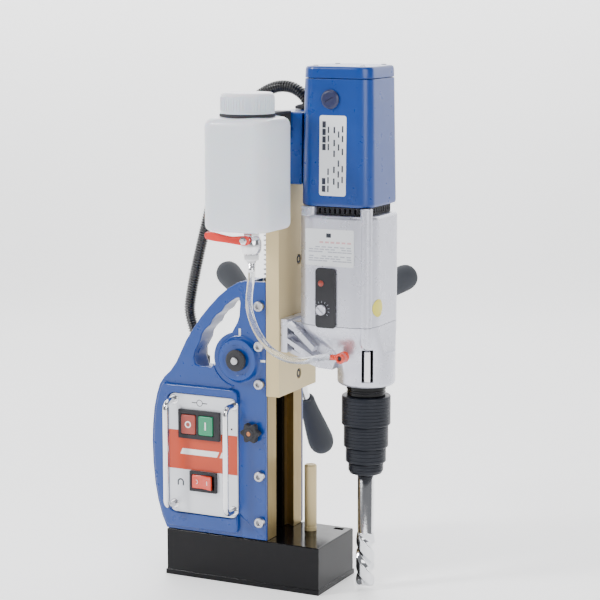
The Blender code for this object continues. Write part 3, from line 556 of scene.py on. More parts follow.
def turned(name, profile, place, material, steps=64, bore=False, edge=0.0):
    """A turned shape: radius and height pairs, from the top down on the outside."""
    bm = bmesh.new()
    verts = [bm.verts.new((r * MM, 0, h * MM)) for r, h in profile]
    edges = [bm.edges.new(pair) for pair in zip(verts, verts[1:])]
    if bore:
        edges.append(bm.edges.new((verts[-1], verts[0])))
    bmesh.ops.spin(bm, geom=verts + edges, axis=(0, 0, 1), cent=(0, 0, 0), dvec=(0, 0, 0),
                   angle=2 * math.pi, steps=steps, use_duplicate=False, use_merge=True)
    weld(bm, 0.005)
    bmesh.ops.recalc_face_normals(bm, faces=bm.faces)
    return soften(add_mesh(name, new_mesh(name, bm), material, place), edge, 2, 28.0, 32.0)


def clean(obj):
    """Weld stray points and split the faces, so that a cut stays exact."""
    bm = bmesh.new()
    bm.from_mesh(obj.data)
    weld(bm, 0.004)
    bmesh.ops.dissolve_degenerate(bm, edges=bm.edges, dist=0.002 * MM)
    bmesh.ops.triangulate(bm, faces=bm.faces)
    bm.to_mesh(obj.data)
    bm.free()


def flatten(obj):
    """Join the flat triangles that the cuts left."""
    bm = bmesh.new()
    bm.from_mesh(obj.data)
    bmesh.ops.dissolve_limit(bm, angle_limit=math.radians(0.3), verts=bm.verts, edges=bm.edges)
    bm.to_mesh(obj.data)
    bm.free()


def combine(target, tool, operation):
    """Join a tool onto a piece or cut it away, and drop the tool."""
    clean(target)
    clean(tool)
    step = target.modifiers.new(operation.title(), "BOOLEAN")
    step.operation = operation
    step.solver = "EXACT"
    step.object = tool
    bake(target)
    bpy.data.objects.remove(tool, do_unlink=True)
    return target


def join(target, *tools):
    for tool in tools:
        combine(target, tool, "UNION")
    return target


def cut(target, *tools):
    for tool in tools:
        combine(target, tool, "DIFFERENCE")
    return target


def drilled(target, radius, top, bottom, place, sides):
    """A round hole cut in a piece."""
    finish_name = target.data.materials[0].name
    return cut(target, turned("bore", drum(radius, top, bottom), place, finish_name, sides))


def merge(name, pieces):
    """Separate closed meshes kept as loose parts of one piece."""
    bm = bmesh.new()
    for piece in pieces:
        bm.from_mesh(piece.data)
    material = pieces[0].data.materials[0].name
    for piece in pieces:
        bpy.data.objects.remove(piece, do_unlink=True)
    return smooth(add_mesh(name, new_mesh(name, bm), material), 35)


def loft(name, rings, material):
    """A closed solid through rings of equal point counts."""
    bm = bmesh.new()
    rows = [[bm.verts.new(Vector(p) * MM) for p in ring] for ring in rings]
    for low, high in zip(rows, rows[1:]):
        for i, vert in enumerate(low):
            j = (i + 1) % len(low)
            bm.faces.new((vert, low[j], high[j], high[i]))
    bm.faces.new(list(reversed(rows[0])))
    bm.faces.new(rows[-1])
    bmesh.ops.recalc_face_normals(bm, faces=bm.faces)
    return add_mesh(name, new_mesh(name, bm), material)


def between(a, b, c, d, t):
    """A point on the smooth curve from b to c, with its neighbours a and d."""
    return 0.5 * (2 * b + (c - a) * t + (2 * a - 5 * b + 4 * c - d) * t ** 2
                  + (3 * b - a - 3 * c + d) * t ** 3)


def smooth_route(points, steps):
    """Points along a smooth curve through the route's own points."""
    route = [Vector(p) for p in points]
    route = [2 * route[0] - route[1]] + route + [2 * route[-1] - route[-2]]
    out = []
    for a, b, c, d in zip(route, route[1:], route[2:], route[3:]):
        out += [between(a, b, c, d, i / steps) for i in range(steps)]
    out.append(route[-2])
    return out


def smooth_loop(points, steps):
    """A closed smooth curve through flat points."""
    route = [Vector((*p, 0)) for p in points]
    count = len(route)
    return [tuple(between(*(route[(i + k - 1) % count] for k in range(4)), step / steps).to_2d())
            for i in range(count) for step in range(steps)]


# Repeats made with Geometry Nodes


class Repeat:
    """A node tree that copies one shape and ends in plain geometry."""

    def __init__(self, name, inputs):
        self.tree = bpy.data.node_groups.new(name, "GeometryNodeTree")
        face = self.tree.interface
        face.new_socket("Geometry", in_out="INPUT", socket_type="NodeSocketGeometry")
        self.sockets = {
            label: face.new_socket(label, in_out="INPUT", socket_type=kind)
            for label, kind in inputs
        }
        face.new_socket("Geometry", in_out="OUTPUT", socket_type="NodeSocketGeometry")
        self.start = self.tree.nodes.new("NodeGroupInput")
        self.end = self.tree.nodes.new("NodeGroupOutput")

    def add(self, kind, links, **values):
        node = self.tree.nodes.new(kind)
        for key, value in values.items():
            setattr(node, key, value)
        for key, source in links.items():
            self.tree.links.new(source, node.inputs[key])
        return node

    def given(self, label):
        return self.start.outputs[label]

    def close(self, geometry):
        """Copies made real and given the finish."""
        real = self.add("GeometryNodeRealizeInstances", {"Geometry": geometry})
        painted_node = self.add(
            "GeometryNodeSetMaterial",
            {"Geometry": real.outputs[0], "Material": self.given("Material")},
        )
        self.tree.links.new(painted_node.outputs[0], self.end.inputs[0])

    def apply(self, obj, values):
        """Run the tree on an object and keep the result as a plain mesh."""
        step = obj.modifiers.new("Repeat", "NODES")
        step.node_group = self.tree
        for label, value in values.items():
            step[self.sockets[label].identifier] = value
        mesh = evaluated(obj)
        name = obj.name
        bpy.data.objects.remove(obj, do_unlink=True)
        return smooth(add_mesh(name, mesh, values["Material"].name), 40)


def copies_tree():
    """One shape on every point, turned by the point's own rotation."""
    repeat = Repeat("copies", [("Shape", "NodeSocketObject"), ("Material", "NodeSocketMaterial")])
    shape = repeat.add("GeometryNodeObjectInfo", {"Object": repeat.given("Shape")})
    turn = repeat.add("GeometryNodeInputNamedAttribute", {}, data_type="FLOAT_VECTOR")
    turn.inputs["Name"].default_value = "turn"
    placed = repeat.add(
        "GeometryNodeInstanceOnPoints",
        {"Points": repeat.given("Geometry"), "Instance": shape.outputs["Geometry"],
         "Rotation": turn.outputs["Attribute"]},
    )
    repeat.close(placed.outputs[0])
    return repeat


def copies(name, shape, places, material):
    """A shape repeated at places, each a point and the three angles that it is turned by."""
    mesh = bpy.data.meshes.new(name)
    mesh.from_pydata([Vector(p) * MM for p, _ in places], [], [])
    turns = mesh.attributes.new("turn", "FLOAT_VECTOR", "POINT")
    for item, (_, turn) in zip(turns.data, places):
        item.vector = turn
    made = copies_tree().apply(new_object(name, mesh),
                               {"Shape": shape, "Material": finish(material)})
    bpy.data.objects.remove(shape, do_unlink=True)
    return made


def ring_places(centre, radius, count, height):
    """Places round an upright circle, each turned to face outwards."""
    turns = [2 * math.pi * i / count for i in range(count)]
    return [((centre[0] + radius * math.cos(a), centre[1] + radius * math.sin(a), height),
             (0, 0, a)) for a in turns]


def ribbed_tree():
    """A core tube with a ring at every step along a path."""
    repeat = Repeat("ribbed", [
        ("Core", "NodeSocketFloat"), ("Rib", "NodeSocketFloat"), ("Wire", "NodeSocketFloat"),
        ("Pitch", "NodeSocketFloat"), ("Material", "NodeSocketMaterial"),
    ])
    path = repeat.given("Geometry")

    def ring(label, sides):
        node = repeat.add("GeometryNodeCurvePrimitiveCircle", {"Radius": repeat.given(label)})
        node.inputs["Resolution"].default_value = sides
        return node.outputs["Curve"]

    def sweep(curve, profile):
        return repeat.add("GeometryNodeCurveToMesh", {"Curve": curve, "Profile Curve": profile})

    tube = sweep(path, ring("Core", 20))
    tube.inputs["Fill Caps"].default_value = True
    rib = sweep(ring("Rib", 20), ring("Wire", 6))
    steps = repeat.add("GeometryNodeCurveToPoints",
                       {"Curve": path, "Length": repeat.given("Pitch")}, mode="LENGTH")
    ribs = repeat.add(
        "GeometryNodeInstanceOnPoints",
        {"Points": steps.outputs["Points"], "Instance": rib.outputs["Mesh"],
         "Rotation": steps.outputs["Rotation"]},
    )
    both = repeat.tree.nodes.new("GeometryNodeJoinGeometry")
    for source in (tube.outputs["Mesh"], ribs.outputs[0]):
        repeat.tree.links.new(source, both.inputs[0])
    repeat.close(both.outputs[0])
    return repeat


def ribbed(name, points, core, rib, wire, pitch, material):
    return ribbed_tree().apply(new_object(name, polyline(name, points)), {
        "Core": core * MM, "Rib": rib * MM, "Wire": wire * MM, "Pitch": pitch * MM,
        "Material": finish(material),
    })


# Small shapes that several pieces share


def screw_head(name, radius, height, chamfer, material):
    profile = [(0, height), (radius - chamfer, height), (radius, height - chamfer), (radius, 0),
               (0, 0)]
    return turned(name, profile, UPRIGHT, material, 40)


def socket_screw(name, radius, height, material):
    """A cap screw's head with a chamfer and a hexagon socket, along +Z."""
    key = plate("key", [circle(radius * 0.56, sides=6)], height, at(0, 0, height), material)
    return soften(cut(screw_head(name, radius, height, 0.7, material), key), 0.15, 2)


def slotted_screw(name, radius, height, material):
    blade = box("blade", (-radius * 1.2, -0.5, height - 0.9), (radius * 1.2, 0.5, height + 1),
                material)
    return soften(cut(screw_head(name, radius, height, 0.5, material), blade), 0.12, 2)


def bars(name, x0, x1, heights, y, height, material, depth=0.12):
    """Rows of thin printed bars, standing in for lines of small print."""
    places = []
    for row, z in enumerate(heights):
        cells = 7 + row % 3
        for i in range(cells):
            if (i * 5 + row * 3) % 7 == 0:
                continue
            places.append(((x0 + (x1 - x0) * (i + 0.5) / cells, y, z), (0, 0, 0)))
    width = (x1 - x0) / 9 - 0.5
    half = Vector((width, depth, height)) / 2
    return copies(name, box("bar", -half, half, material), places, material)


# Pieces


class PRESS_OT_magnet(bpy.types.Operator):
    """Magnet block and the potted coil inside it"""

    bl_idname = "press.magnet"
    bl_label = "Magnet"

    def execute(self, context):
        refined("magnet_base", "magnet_block", "black_enamel", 0.9, 3)
        refined("magnet_coil", "coil_potting", "copper_winding", 0.4, 2)
        return {"FINISHED"}


class PRESS_OT_column(bpy.types.Operator):
    """Column with its dovetail, the gib strip and the stop post"""

    bl_idname = "press.column"
    bl_label = "Column"

    def execute(self, context):
        # The column's finish paints shade into its slideway.
        refined("column_guide", "column", "oiled_gold_zinc", 0.5, 2)
        refined("gib_strip", "gib", "bronze", 0.2, 2)
        (x0, x1), _, (z0, z1) = span("stop_post")
        radius = (x1 - x0) / 2
        profile = [(0, z1), (radius - 1.2, z1), (radius, z1 - 1.2), (radius, z0 + 6),
                   (radius - 0.5, z0 + 5.5), (radius - 0.5, z0 + 4), (radius, z0 + 3.5),
                   (radius, z0), (0, z0)]
        centre = middle("stop_post")
        post = turned("stop_rod", profile, at(centre.x, centre.y, 0), "gold_zinc", 48)
        settle(post, "stop_post")
        return {"FINISHED"}


def housing_outline():
    """The near side's outline with the carry handle, in X and Z."""
    rear = [(-84, 47.6), (-89.5, 60), (-93.8, 75), (-97, 92), (-98.9, 112), (-99.7, 135),
            (-98.9, 152), (-97.1, 169), (-94, 183), (-90.5, 193.5), (-85, 201.5), (-78, 208),
            (-71.5, 217), (-66.5, 227), (-60, 240), (-52, 252), (-43.5, 264), (-34, 275),
            (-24, 285.5), (-13, 294.5), (-3, 300.5), (4, 303)]
    return rear + [(26.5, 303), (28, 301.5), (28, 47.6)]


def handle_opening():
    """The finger opening, waved where the fingers close round the handle."""
    hole = [(-49.5, 217), (-51.5, 223), (-50, 230), (-46.5, 236), (-43.8, 241), (-42.5, 247),
            (-38.5, 252.5), (-33, 257), (-30.5, 262.5), (-26, 267.5), (-20, 271.5), (-16.5, 277),
            (-10.5, 281.5), (-4.5, 285.5), (-1, 286), (0, 281), (-1, 268), (-3, 262)]
    centre = (-3, 226)
    hole += arc(centre, 26, 104, 198, 14)
    return hole + [(-29, 217), (-32, 215.8), (-45, 215.6)]


def offset(points, distance):
    """A closed outline moved inwards."""
    moved = []
    ring = points[-1:] + points + points[:1]
    area = sum(a[0] * b[1] - b[0] * a[1] for a, b in zip(points, points[1:] + points[:1]))
    side = math.copysign(distance, area)
    for before, here, after in zip(ring, ring[1:], ring[2:]):
        first = (Vector(here) - Vector(before)).normalized()
        second = (Vector(after) - Vector(here)).normalized()
        normal = (Vector((-first.y, first.x)) + Vector((-second.y, second.x))).normalized()
        stretch = max(normal.dot(Vector((-first.y, first.x))), 0.4)
        moved.append(tuple(Vector(here) + normal * side / stretch))
    return moved


class PRESS_OT_housing(bpy.types.Operator):
    """Cast control housing with its handle, raised control box and shaft bosses"""

    bl_idname = "press.housing"
    bl_label = "Control housing"

    def execute(self, context):
        sizes = context.scene.press_sizes
        low = span("control_housing")[2][0]
        shell = self.shell(low, sizes)
        self.bosses(shell)
        self.openings(shell)
        flatten(shell)
        soften(shell, 0, 2, 40.0, 30.0)
        settle(shell, "control_housing")
        self.marks()
        return {"FINISHED"}

    def shell(self, low, sizes):
        outline = housing_outline()
        rear = outline[:11] + [(-70, 202), (5, 202), (5, low)]
        side = slab("control_casting", [offset(rear, 0.12)], FAR_SIDE - NEAR_SIDE - 0.3,
                    0.1, BLUE, sizes.cast_edge, 4)
        block = drum(20, 38, -38)
        join(side, turned("block", block, at(0, 0, SHAFT_Z, ALONG_Y), BLUE, 48))
        join(side, box("foot", (-17, -38, 196), (3, 38, 226), BLUE))
        cut(side, box("column_space", (2.7, -37.35, 40), (35, 37.35, 320), BLUE))
        self.hollow(side)
        cheek = slab("cheek", [outline, handle_opening()], 3.6, NEAR_SIDE + 1.8, BLUE, 1.3, 3)
        join(side, cheek)
        grip = outline[9:22] + [(12, 303), (12, 291), (-1, 291)]
        grip += list(reversed(handle_opening()[:15])) + [(-47, 208), (-50, 190)]
        join(side, slab("grip", [offset(grip, 0.2)], 29.3, NEAR_SIDE + 14.9, BLUE, 4.0, 4))
        wall = [(-10, low + 0.4), (27.9, low + 0.4), (27.9, 251), (-13, 251), (-18, 238),
                (-19.4, 226), (-19.4, 199), (-10, 199)]
        join(side, slab("far_wall", [wall], 3.5, FAR_SIDE - 1.85, BLUE, 0.8, 2))
        frame_outer = offset(outline[:11] + [(-80, 199.5), (2.5, 199.5), (2.5, low)], 4.2)
        rim = slab("rim", [self.rounded(frame_outer, 6)], sizes.rim_height + 1.6,
                   NEAR_SIDE - sizes.rim_height / 2 + 0.8, BLUE, 1.4, 4)
        pocket = slab("pocket", [self.recess()], 8, NEAR_SIDE - 4.02, BLUE)
        join(side, cut(rim, pocket))
        return side

    def recess(self):
        """The pocket that the panel lies in."""
        width, height, centre, _, _ = face("panel_plate")
        return rounded_box(width + 2.2, height + 2.2, 9, centre)

    def rounded(self, points, radius):
        """A closed outline with its sharp corners turned into short arcs."""
        out = []
        ring = points[-1:] + points + points[:1]
        for before, here, after in zip(ring, ring[1:], ring[2:]):
            here = Vector(here)
            to_last = Vector(before) - here
            to_next = Vector(after) - here
            turn = math.pi - to_last.angle(to_next)
            if turn < 0.5:
                out.append(tuple(here))
                continue
            reach = min(radius, to_last.length * 0.45, to_next.length * 0.45)
            start = here + to_last.normalized() * reach
            end = here + to_next.normalized() * reach
            for i in range(7):
                t = i / 6
                point = start * (1 - t) ** 2 + here * 2 * t * (1 - t) + end * t ** 2
                out.append(tuple(point))
        return out

    def bosses(self, shell):
        near_boss = [(0, -1), (24.2, -1), (24.2, 0), (21, 1.2), (20.6, 6.2), (19.8, 7),
                     (15.5, 7), (14.8, 6), (0, 6)]
        join(shell, turned("near_boss", near_boss, facing(0, SHAFT_Z, NEAR_SIDE), BLUE, 64))
        far_boss = [(0, 11), (19.5, 11), (21, 9.5), (21, -1), (0, -1)]
        place = at(0, FAR_SIDE, SHAFT_Z, ALONG_Y)
        join(shell, turned("far_boss", far_boss, place, BLUE, 64))

    def hollow(self, shell):
        room = [(-80, 56), (-89, 76), (-94, 105), (-95, 135), (-93, 164), (-87, 188), (-80, 195),
                (-4, 195), (-4, 56)]
        cut(shell, plate("room", [room], 72, facing(0, 0), BLUE))

    def openings(self, shell):
        cut(shell, box("panel_hole", (-74, NEAR_SIDE - 6, 74), (-9, -30, 180), BLUE))
        drilled(shell, 8.4, 60, -60, at(0, 0, SHAFT_Z, ALONG_Y), 40)
        drilled(shell, 14, 37.1, -37.1, at(0, 0, SHAFT_Z, ALONG_Y), 48)
        drilled(shell, 6.3, 215, 190, at(-80, 20, 0), 32)

    def marks(self):
        """Pale index marks at the top and right of the shaft, and a cast ridge."""
        y = NEAR_SIDE - 0.1
        marks = [box("mark", (-1.1, y - 0.5, 249), (1.1, y + 0.3, 256), "white_print"),
                 box("mark", (21.5, y - 0.5, 224.9), (27.5, y + 0.3, 227.1), "white_print")]
        settle(soften(merge("index_marks", marks), 0.2, 2), body="stand", slot="panel_plate")
        ridge = [(x, y - 0.2, z) for x, z in arc((-3, 226), 27.5, 196, 262, 14)]
        ridge += [(x, y - 0.2, z) for x, z in ((-10, 196.5), (-18, 193))]
        line = rod("cast_ridge", smooth_route(ridge, 2), 0.7, BLUE, 4)
        settle(line, body="stand", slot="blue_paint")


class PRESS_OT_housing_screws(bpy.types.Operator):
    """Five cap screws down the housing's edge and the lobed clamp knob"""

    bl_idname = "press.housing_screws"
    bl_label = "Housing screws"

    def execute(self, context):
        nodes = [f"housing_screw_{i}" for i in range(1, 6)]
        places = []
        for node in nodes:
            centre = middle(node)
            places.append(((centre.x, -41.2, centre.z), (math.pi / 2, 0, 0.0)))
        head = socket_screw("cap_head", 5, 5.2, "chrome")
        heads = copies("housing_cap_screws", head, places, "machined_steel")
        settle(heads, *nodes)
        self.knob()
        return {"FINISHED"}

    def knob(self):
        points, lobe_count, mean_radius, lobe_height = 96, 6, 9.0, 1.3
        lobes = []
        for i in range(points):
            angle = 2 * math.pi * i / points
            radius = mean_radius + lobe_height * math.cos(lobe_count * angle)
            lobes.append((radius * math.cos(angle), radius * math.sin(angle)))
        knob = plate("clamp_star", [lobes], 7.6, facing(CLAMP_X, CLAMP_Z, -45.6),
                     "black_plastic", 1.4, 4)
        hub = [(0, 50.6), (4.5, 50.6), (5.2, 49.8), (5.2, 48), (0, 48)]
        join(knob, turned("hub", hub, facing(CLAMP_X, CLAMP_Z), "black_plastic", 40))
        soften(knob, 0.2, 2, 40)
        settle(knob, "clamp_knob")
        dot = [(0, 51.2), (1.6, 51.2), (2.1, 50.8), (2.1, 50), (0, 50)]
        dot = turned("clamp_pin", dot, facing(CLAMP_X, CLAMP_Z), "copper_winding", 32)
        settle(dot, body="clamp", slot="bronze")


class PRESS_OT_panel(bpy.types.Operator):
    """Switch panel with its orange band, plain symbols and guard bars"""

    bl_idname = "press.panel"
    bl_label = "Switch panel"

    def execute(self, context):
        width, height, centre, y0, y1 = face("panel_plate")
        outlines = [rounded_box(width, height, 8, centre)]
        for node in ("motor_switch_frame", "magnet_switch_frame"):
            hole_width, hole_height, hole_centre, _, _ = face(node)
            outlines.append(rounded_box(hole_width - 2, hole_height - 2, 1, hole_centre))
        sheet = slab("switch_panel", outlines, y1 - y0, (y0 + y1) / 2, "panel_white", 0.3, 2)
        settle(soften(sheet, 0), "panel_plate")
        self.band(*span("panel_plate")[0], y0)
        self.symbols(y0)
        self.guards()
        return {"FINISHED"}

    def band(self, x0, x1, y0):
        low, high = 110.3, 149.6
        (a, b), _, (c, d) = span("motor_switch_frame")
        outline = [(x0 + 0.3, low), (x1 - 0.3, low), (x1 - 0.3, high), (x0 + 0.3, high)]
        strip = slab("orange_band", [outline], PRINT, y0 - 0.05, "orange_print")
        cut(strip, box("switch", (a, y0 - 3, c - 0.4), (b, y0 + 3, d), "orange_print"))
        settle(soften(strip, 0), body="stand", slot="panel_plate")
        stripe = [(-66, 125.8), (-25, 125.8), (-22.5, 131.5), (-63.5, 131.5)]
        dash = [(-22, 125.8), (-15.5, 125.8), (-13, 131.5), (-19.5, 131.5)]
        mark = slab("white_stripe", [stripe], PRINT, y0 - 0.17, "white_print")
        more = slab("white_dash", [dash], PRINT, y0 - 0.17, "white_print")
        settle(merge("band_stripes", [mark, more]), body="stand", slot="panel_plate")

    def symbols(self, y0):
        """A motor sign over the switch and a magnet sign beside the rocker."""
        y = y0 - 0.06
        dark = "dark_print"
        ring = slab("ring", [circle(3.4, (-44, 178.6)), circle(2.8, (-44, 178.6))], 0.14, y, dark)
        stem = box("stem", (-52.6, y - 0.07, 178.2), (-47.4, y + 0.07, 179.0), dark)
        tail = box("tail", (-40.6, y - 0.07, 178.2), (-35.4, y + 0.07, 179.0), dark)
        magnet = arc((-66, 97), 3.6, 0, 180, 12) + arc((-66, 97), 2.2, 180, 0, 12)
        horseshoe = slab("horseshoe", [magnet], 0.14, y, dark)
        feet = [box("leg", (a, y - 0.07, 93.6), (a + 1.4, y + 0.07, 97.1), dark)
                for a in (-69.6, -63.8)]
        tick = box("tick", (-16.2, y - 0.07, 97), (-15.2, y + 0.07, 103), dark)
        dot = box("dot", (-9.4, y - 0.07, 155), (-7.6, y + 0.07, 156.8), dark)
        pieces = [ring, stem, tail, horseshoe, tick, dot] + feet
        settle(merge("panel_symbols", pieces), body="stand", slot="panel_plate")

    def guards(self):
        for node, name in (("guard_bar_left", "left_guard"), ("guard_bar_right", "right_guard")):
            (x0, x1), (y0, y1), (z0, z1) = span(node)
            x = (x0 + x1) / 2
            radius = (x1 - x0) / 2
            front = y0 + radius
            low, high = z0 + radius, z1 - radius
            bend = 8.0
            points = [(x, y1, high)]
            points += [(x, y, z) for y, z in arc((front + bend, high - bend), bend, 90, 180, 10)]
            points += [(x, y, z) for y, z in arc((front + bend, low + bend), bend, 180, 270, 10)]
            points += [(x, y1, low)]
            bar = rod(name, points, radius, "chrome", 8)
            settle(bar, node)
            feet = []
            for z in (low, high):
                washer = [(0, 43.9), (4.3, 43.9), (4.8, 43.5), (4.8, 43.1), (0, 43.1)]
                feet.append(turned("foot", washer, facing(x, z), "chrome", 40))
            settle(merge(name + "_feet", feet), body="stand", slot="chrome")


class PRESS_OT_switches(bpy.types.Operator):
    """Motor switch with its two buttons, and the magnet's rocker"""

    bl_idname = "press.switches"
    bl_label = "Switches"

    def execute(self, context):
        refined("motor_switch_frame", "motor_switch_bezel", "black_plastic", 0.5, 3)
        refined("magnet_switch_frame", "magnet_switch_bezel", "black_plastic", 0.5, 3)
        self.button("stop_button", "stop_key", "dull_red")
        self.button("start_button", "start_key", "green_plastic")
        self.rocker()
        return {"FINISHED"}

    def button(self, node, name, material):
        width, height, centre, y0, y1 = face(node)
        key = slab(name, [rounded_box(width, height, 1.5, centre)], y1 - y0, (y0 + y1) / 2,
                  material, 0.9, 4)
        settle(soften(key, 0), node)
        y = y0 - 0.05
        if node == "stop_button":
            sign = slab(name + "_sign", [circle(3.4, centre), circle(2.2, centre)], PRINT,
                        y, "white_print")
        else:
            sign = box(name + "_sign", (centre[0] - 0.7, y - 0.08, centre[1] - 4),
                       (centre[0] + 0.7, y + 0.08, centre[1] + 4), "white_print")
        settle(sign, body=body_of(node), slot=slot_of(node))

    def rocker(self):
        refined("magnet_rocker", "rocker", "lit_red", 0.8, 4)
        tilt = Matrix.Translation(Vector((-39.5, -44.2, 100)) * MM)
        tilt = tilt @ Matrix.Rotation(math.radians(-7), 4, "Z")
        ring = plate("ring", [circle(2.0), circle(1.4)], 0.2,
                     at(-6.2, -3.46, 0, Matrix.Rotation(math.radians(-11), 4, "Z") @ FACE_NEAR),
                     "white_print")
        bar = plate("bar", [rounded_box(0.7, 4.2, 0.3)], 0.2,
                    at(6.2, -3.46, 0, Matrix.Rotation(math.radians(11), 4, "Z") @ FACE_NEAR),
                    "white_print")
        for piece in (ring, bar):
            piece.data.transform(tilt)
        settle(merge("rocker_signs", [ring, bar]), body="magnet_rocker", slot="red_plastic")


class PRESS_OT_feed(bpy.types.Operator):
    """Pinion shaft, end cap, capstan hub, arms and rubber grips"""

    bl_idname = "press.feed"
    bl_label = "Feed handle"

    def execute(self, context):
        refined("pinion_shaft", "feed_pinion", "machined_steel", 0.15, 2)
        cap = [(3.3, 52.6), (8.4, 52.6), (10.5, 51.4), (10.5, 48.7), (3.3, 48.7)]
        near = facing(0, SHAFT_Z)
        cap = turned("shaft_end_cap", cap, near, "black_plastic", 64, True, 0.3)
        settle(cap, "shaft_cap")
        stud = [(0, 53.2), (1.5, 53.2), (1.5, 54.4), (3.0, 54.4), (3.6, 53.9), (3.6, 52.7),
                (3.1, 52.7), (3.1, 50), (0, 50)]
        stud = turned("shaft_nut", stud, near, "machined_steel", 48, False, 0.2)
        settle(stud, body="feed", slot="steel")
        hub = [(0, 82), (7.5, 82), (9.5, 81.2), (14, 78.6), (18, 74), (19.7, 70), (20, 66),
               (19.6, 62), (17.6, 58.6), (18.4, 57.6), (18.4, 55.7), (0, 55.7)]
        far = at(0, 0, SHAFT_Z, ALONG_Y)
        hub = turned("capstan", hub, far, "silver_paint", 72, False, 0.3)
        settle(hub, "capstan_hub")
        for number in (1, 2, 3):
            self.arm(number)
        refined("feed_bush_near", "near_bush", "bronze", 0.3, 2)
        refined("feed_bush_far", "far_bush", "bronze", 0.3, 2)
        return {"FINISHED"}

    def arm(self, number):
        """An arm and its grip, from the hub towards the grip's end."""
        place = arm_place(ARM_TURNS[number - 1])
        arm = [(0, 78), (4.6, 78), (5, 77.4), (5, 2.6), (4.4, 2), (0, 2)]
        settle(turned(f"arm_{number}", arm, place, "chrome", 40), f"feed_arm_{number}")
        grip = [(0, 137), (3.4, 136.7), (6.7, 135.5), (9.6, 133.2), (11.8, 130), (13, 126),
                (13.3, 121.5), (13, 116), (12.3, 108), (11.2, 98), (10.1, 88), (9.2, 79),
                (8.6, 71), (8.4, 64.5), (7.9, 62.6), (6.8, 62), (5.3, 62), (5.3, 78.4), (0, 78.4)]
        grip = turned(f"grip_{number}", grip, place, "grip_rubber", 48)
        settle(grip, f"feed_grip_{number}")


def arm_place(degrees):
    """The place of an arm's root, turned along the arm."""
    across, up = math.cos(math.radians(degrees)), math.sin(math.radians(degrees))
    lean = Vector((across * ARM_SPREAD, ARM_LEAN, up * ARM_SPREAD))
    turn = lean.to_track_quat("Z", "Y").to_matrix().to_4x4()
    return at(ARM_ROOT * across, 66, SHAFT_Z + ARM_ROOT * up, turn)


class PRESS_OT_carriage(bpy.types.Operator):
    """Carriage slide, its rack and its recessed screws"""

    bl_idname = "press.carriage"
    bl_label = "Carriage"

    def execute(self, context):
        refined("carriage_slide", "slide", "gold_zinc", 0.7, 3)
        refined("rack", "feed_rack", "machined_steel", 0.15, 2)
        front = span("carriage_slide")[0][1]
        places = [((front - 1.6, 3, z), (0, math.pi / 2, 0)) for z in (320.8, 208.0)]
        head = socket_screw("slide_screw", 4.2, 1.5, "black_chrome")
        heads = copies("slide_screws", head, places, "black_oxide")
        settle(heads, body="carriage", slot="steel")
        return {"FINISHED"}


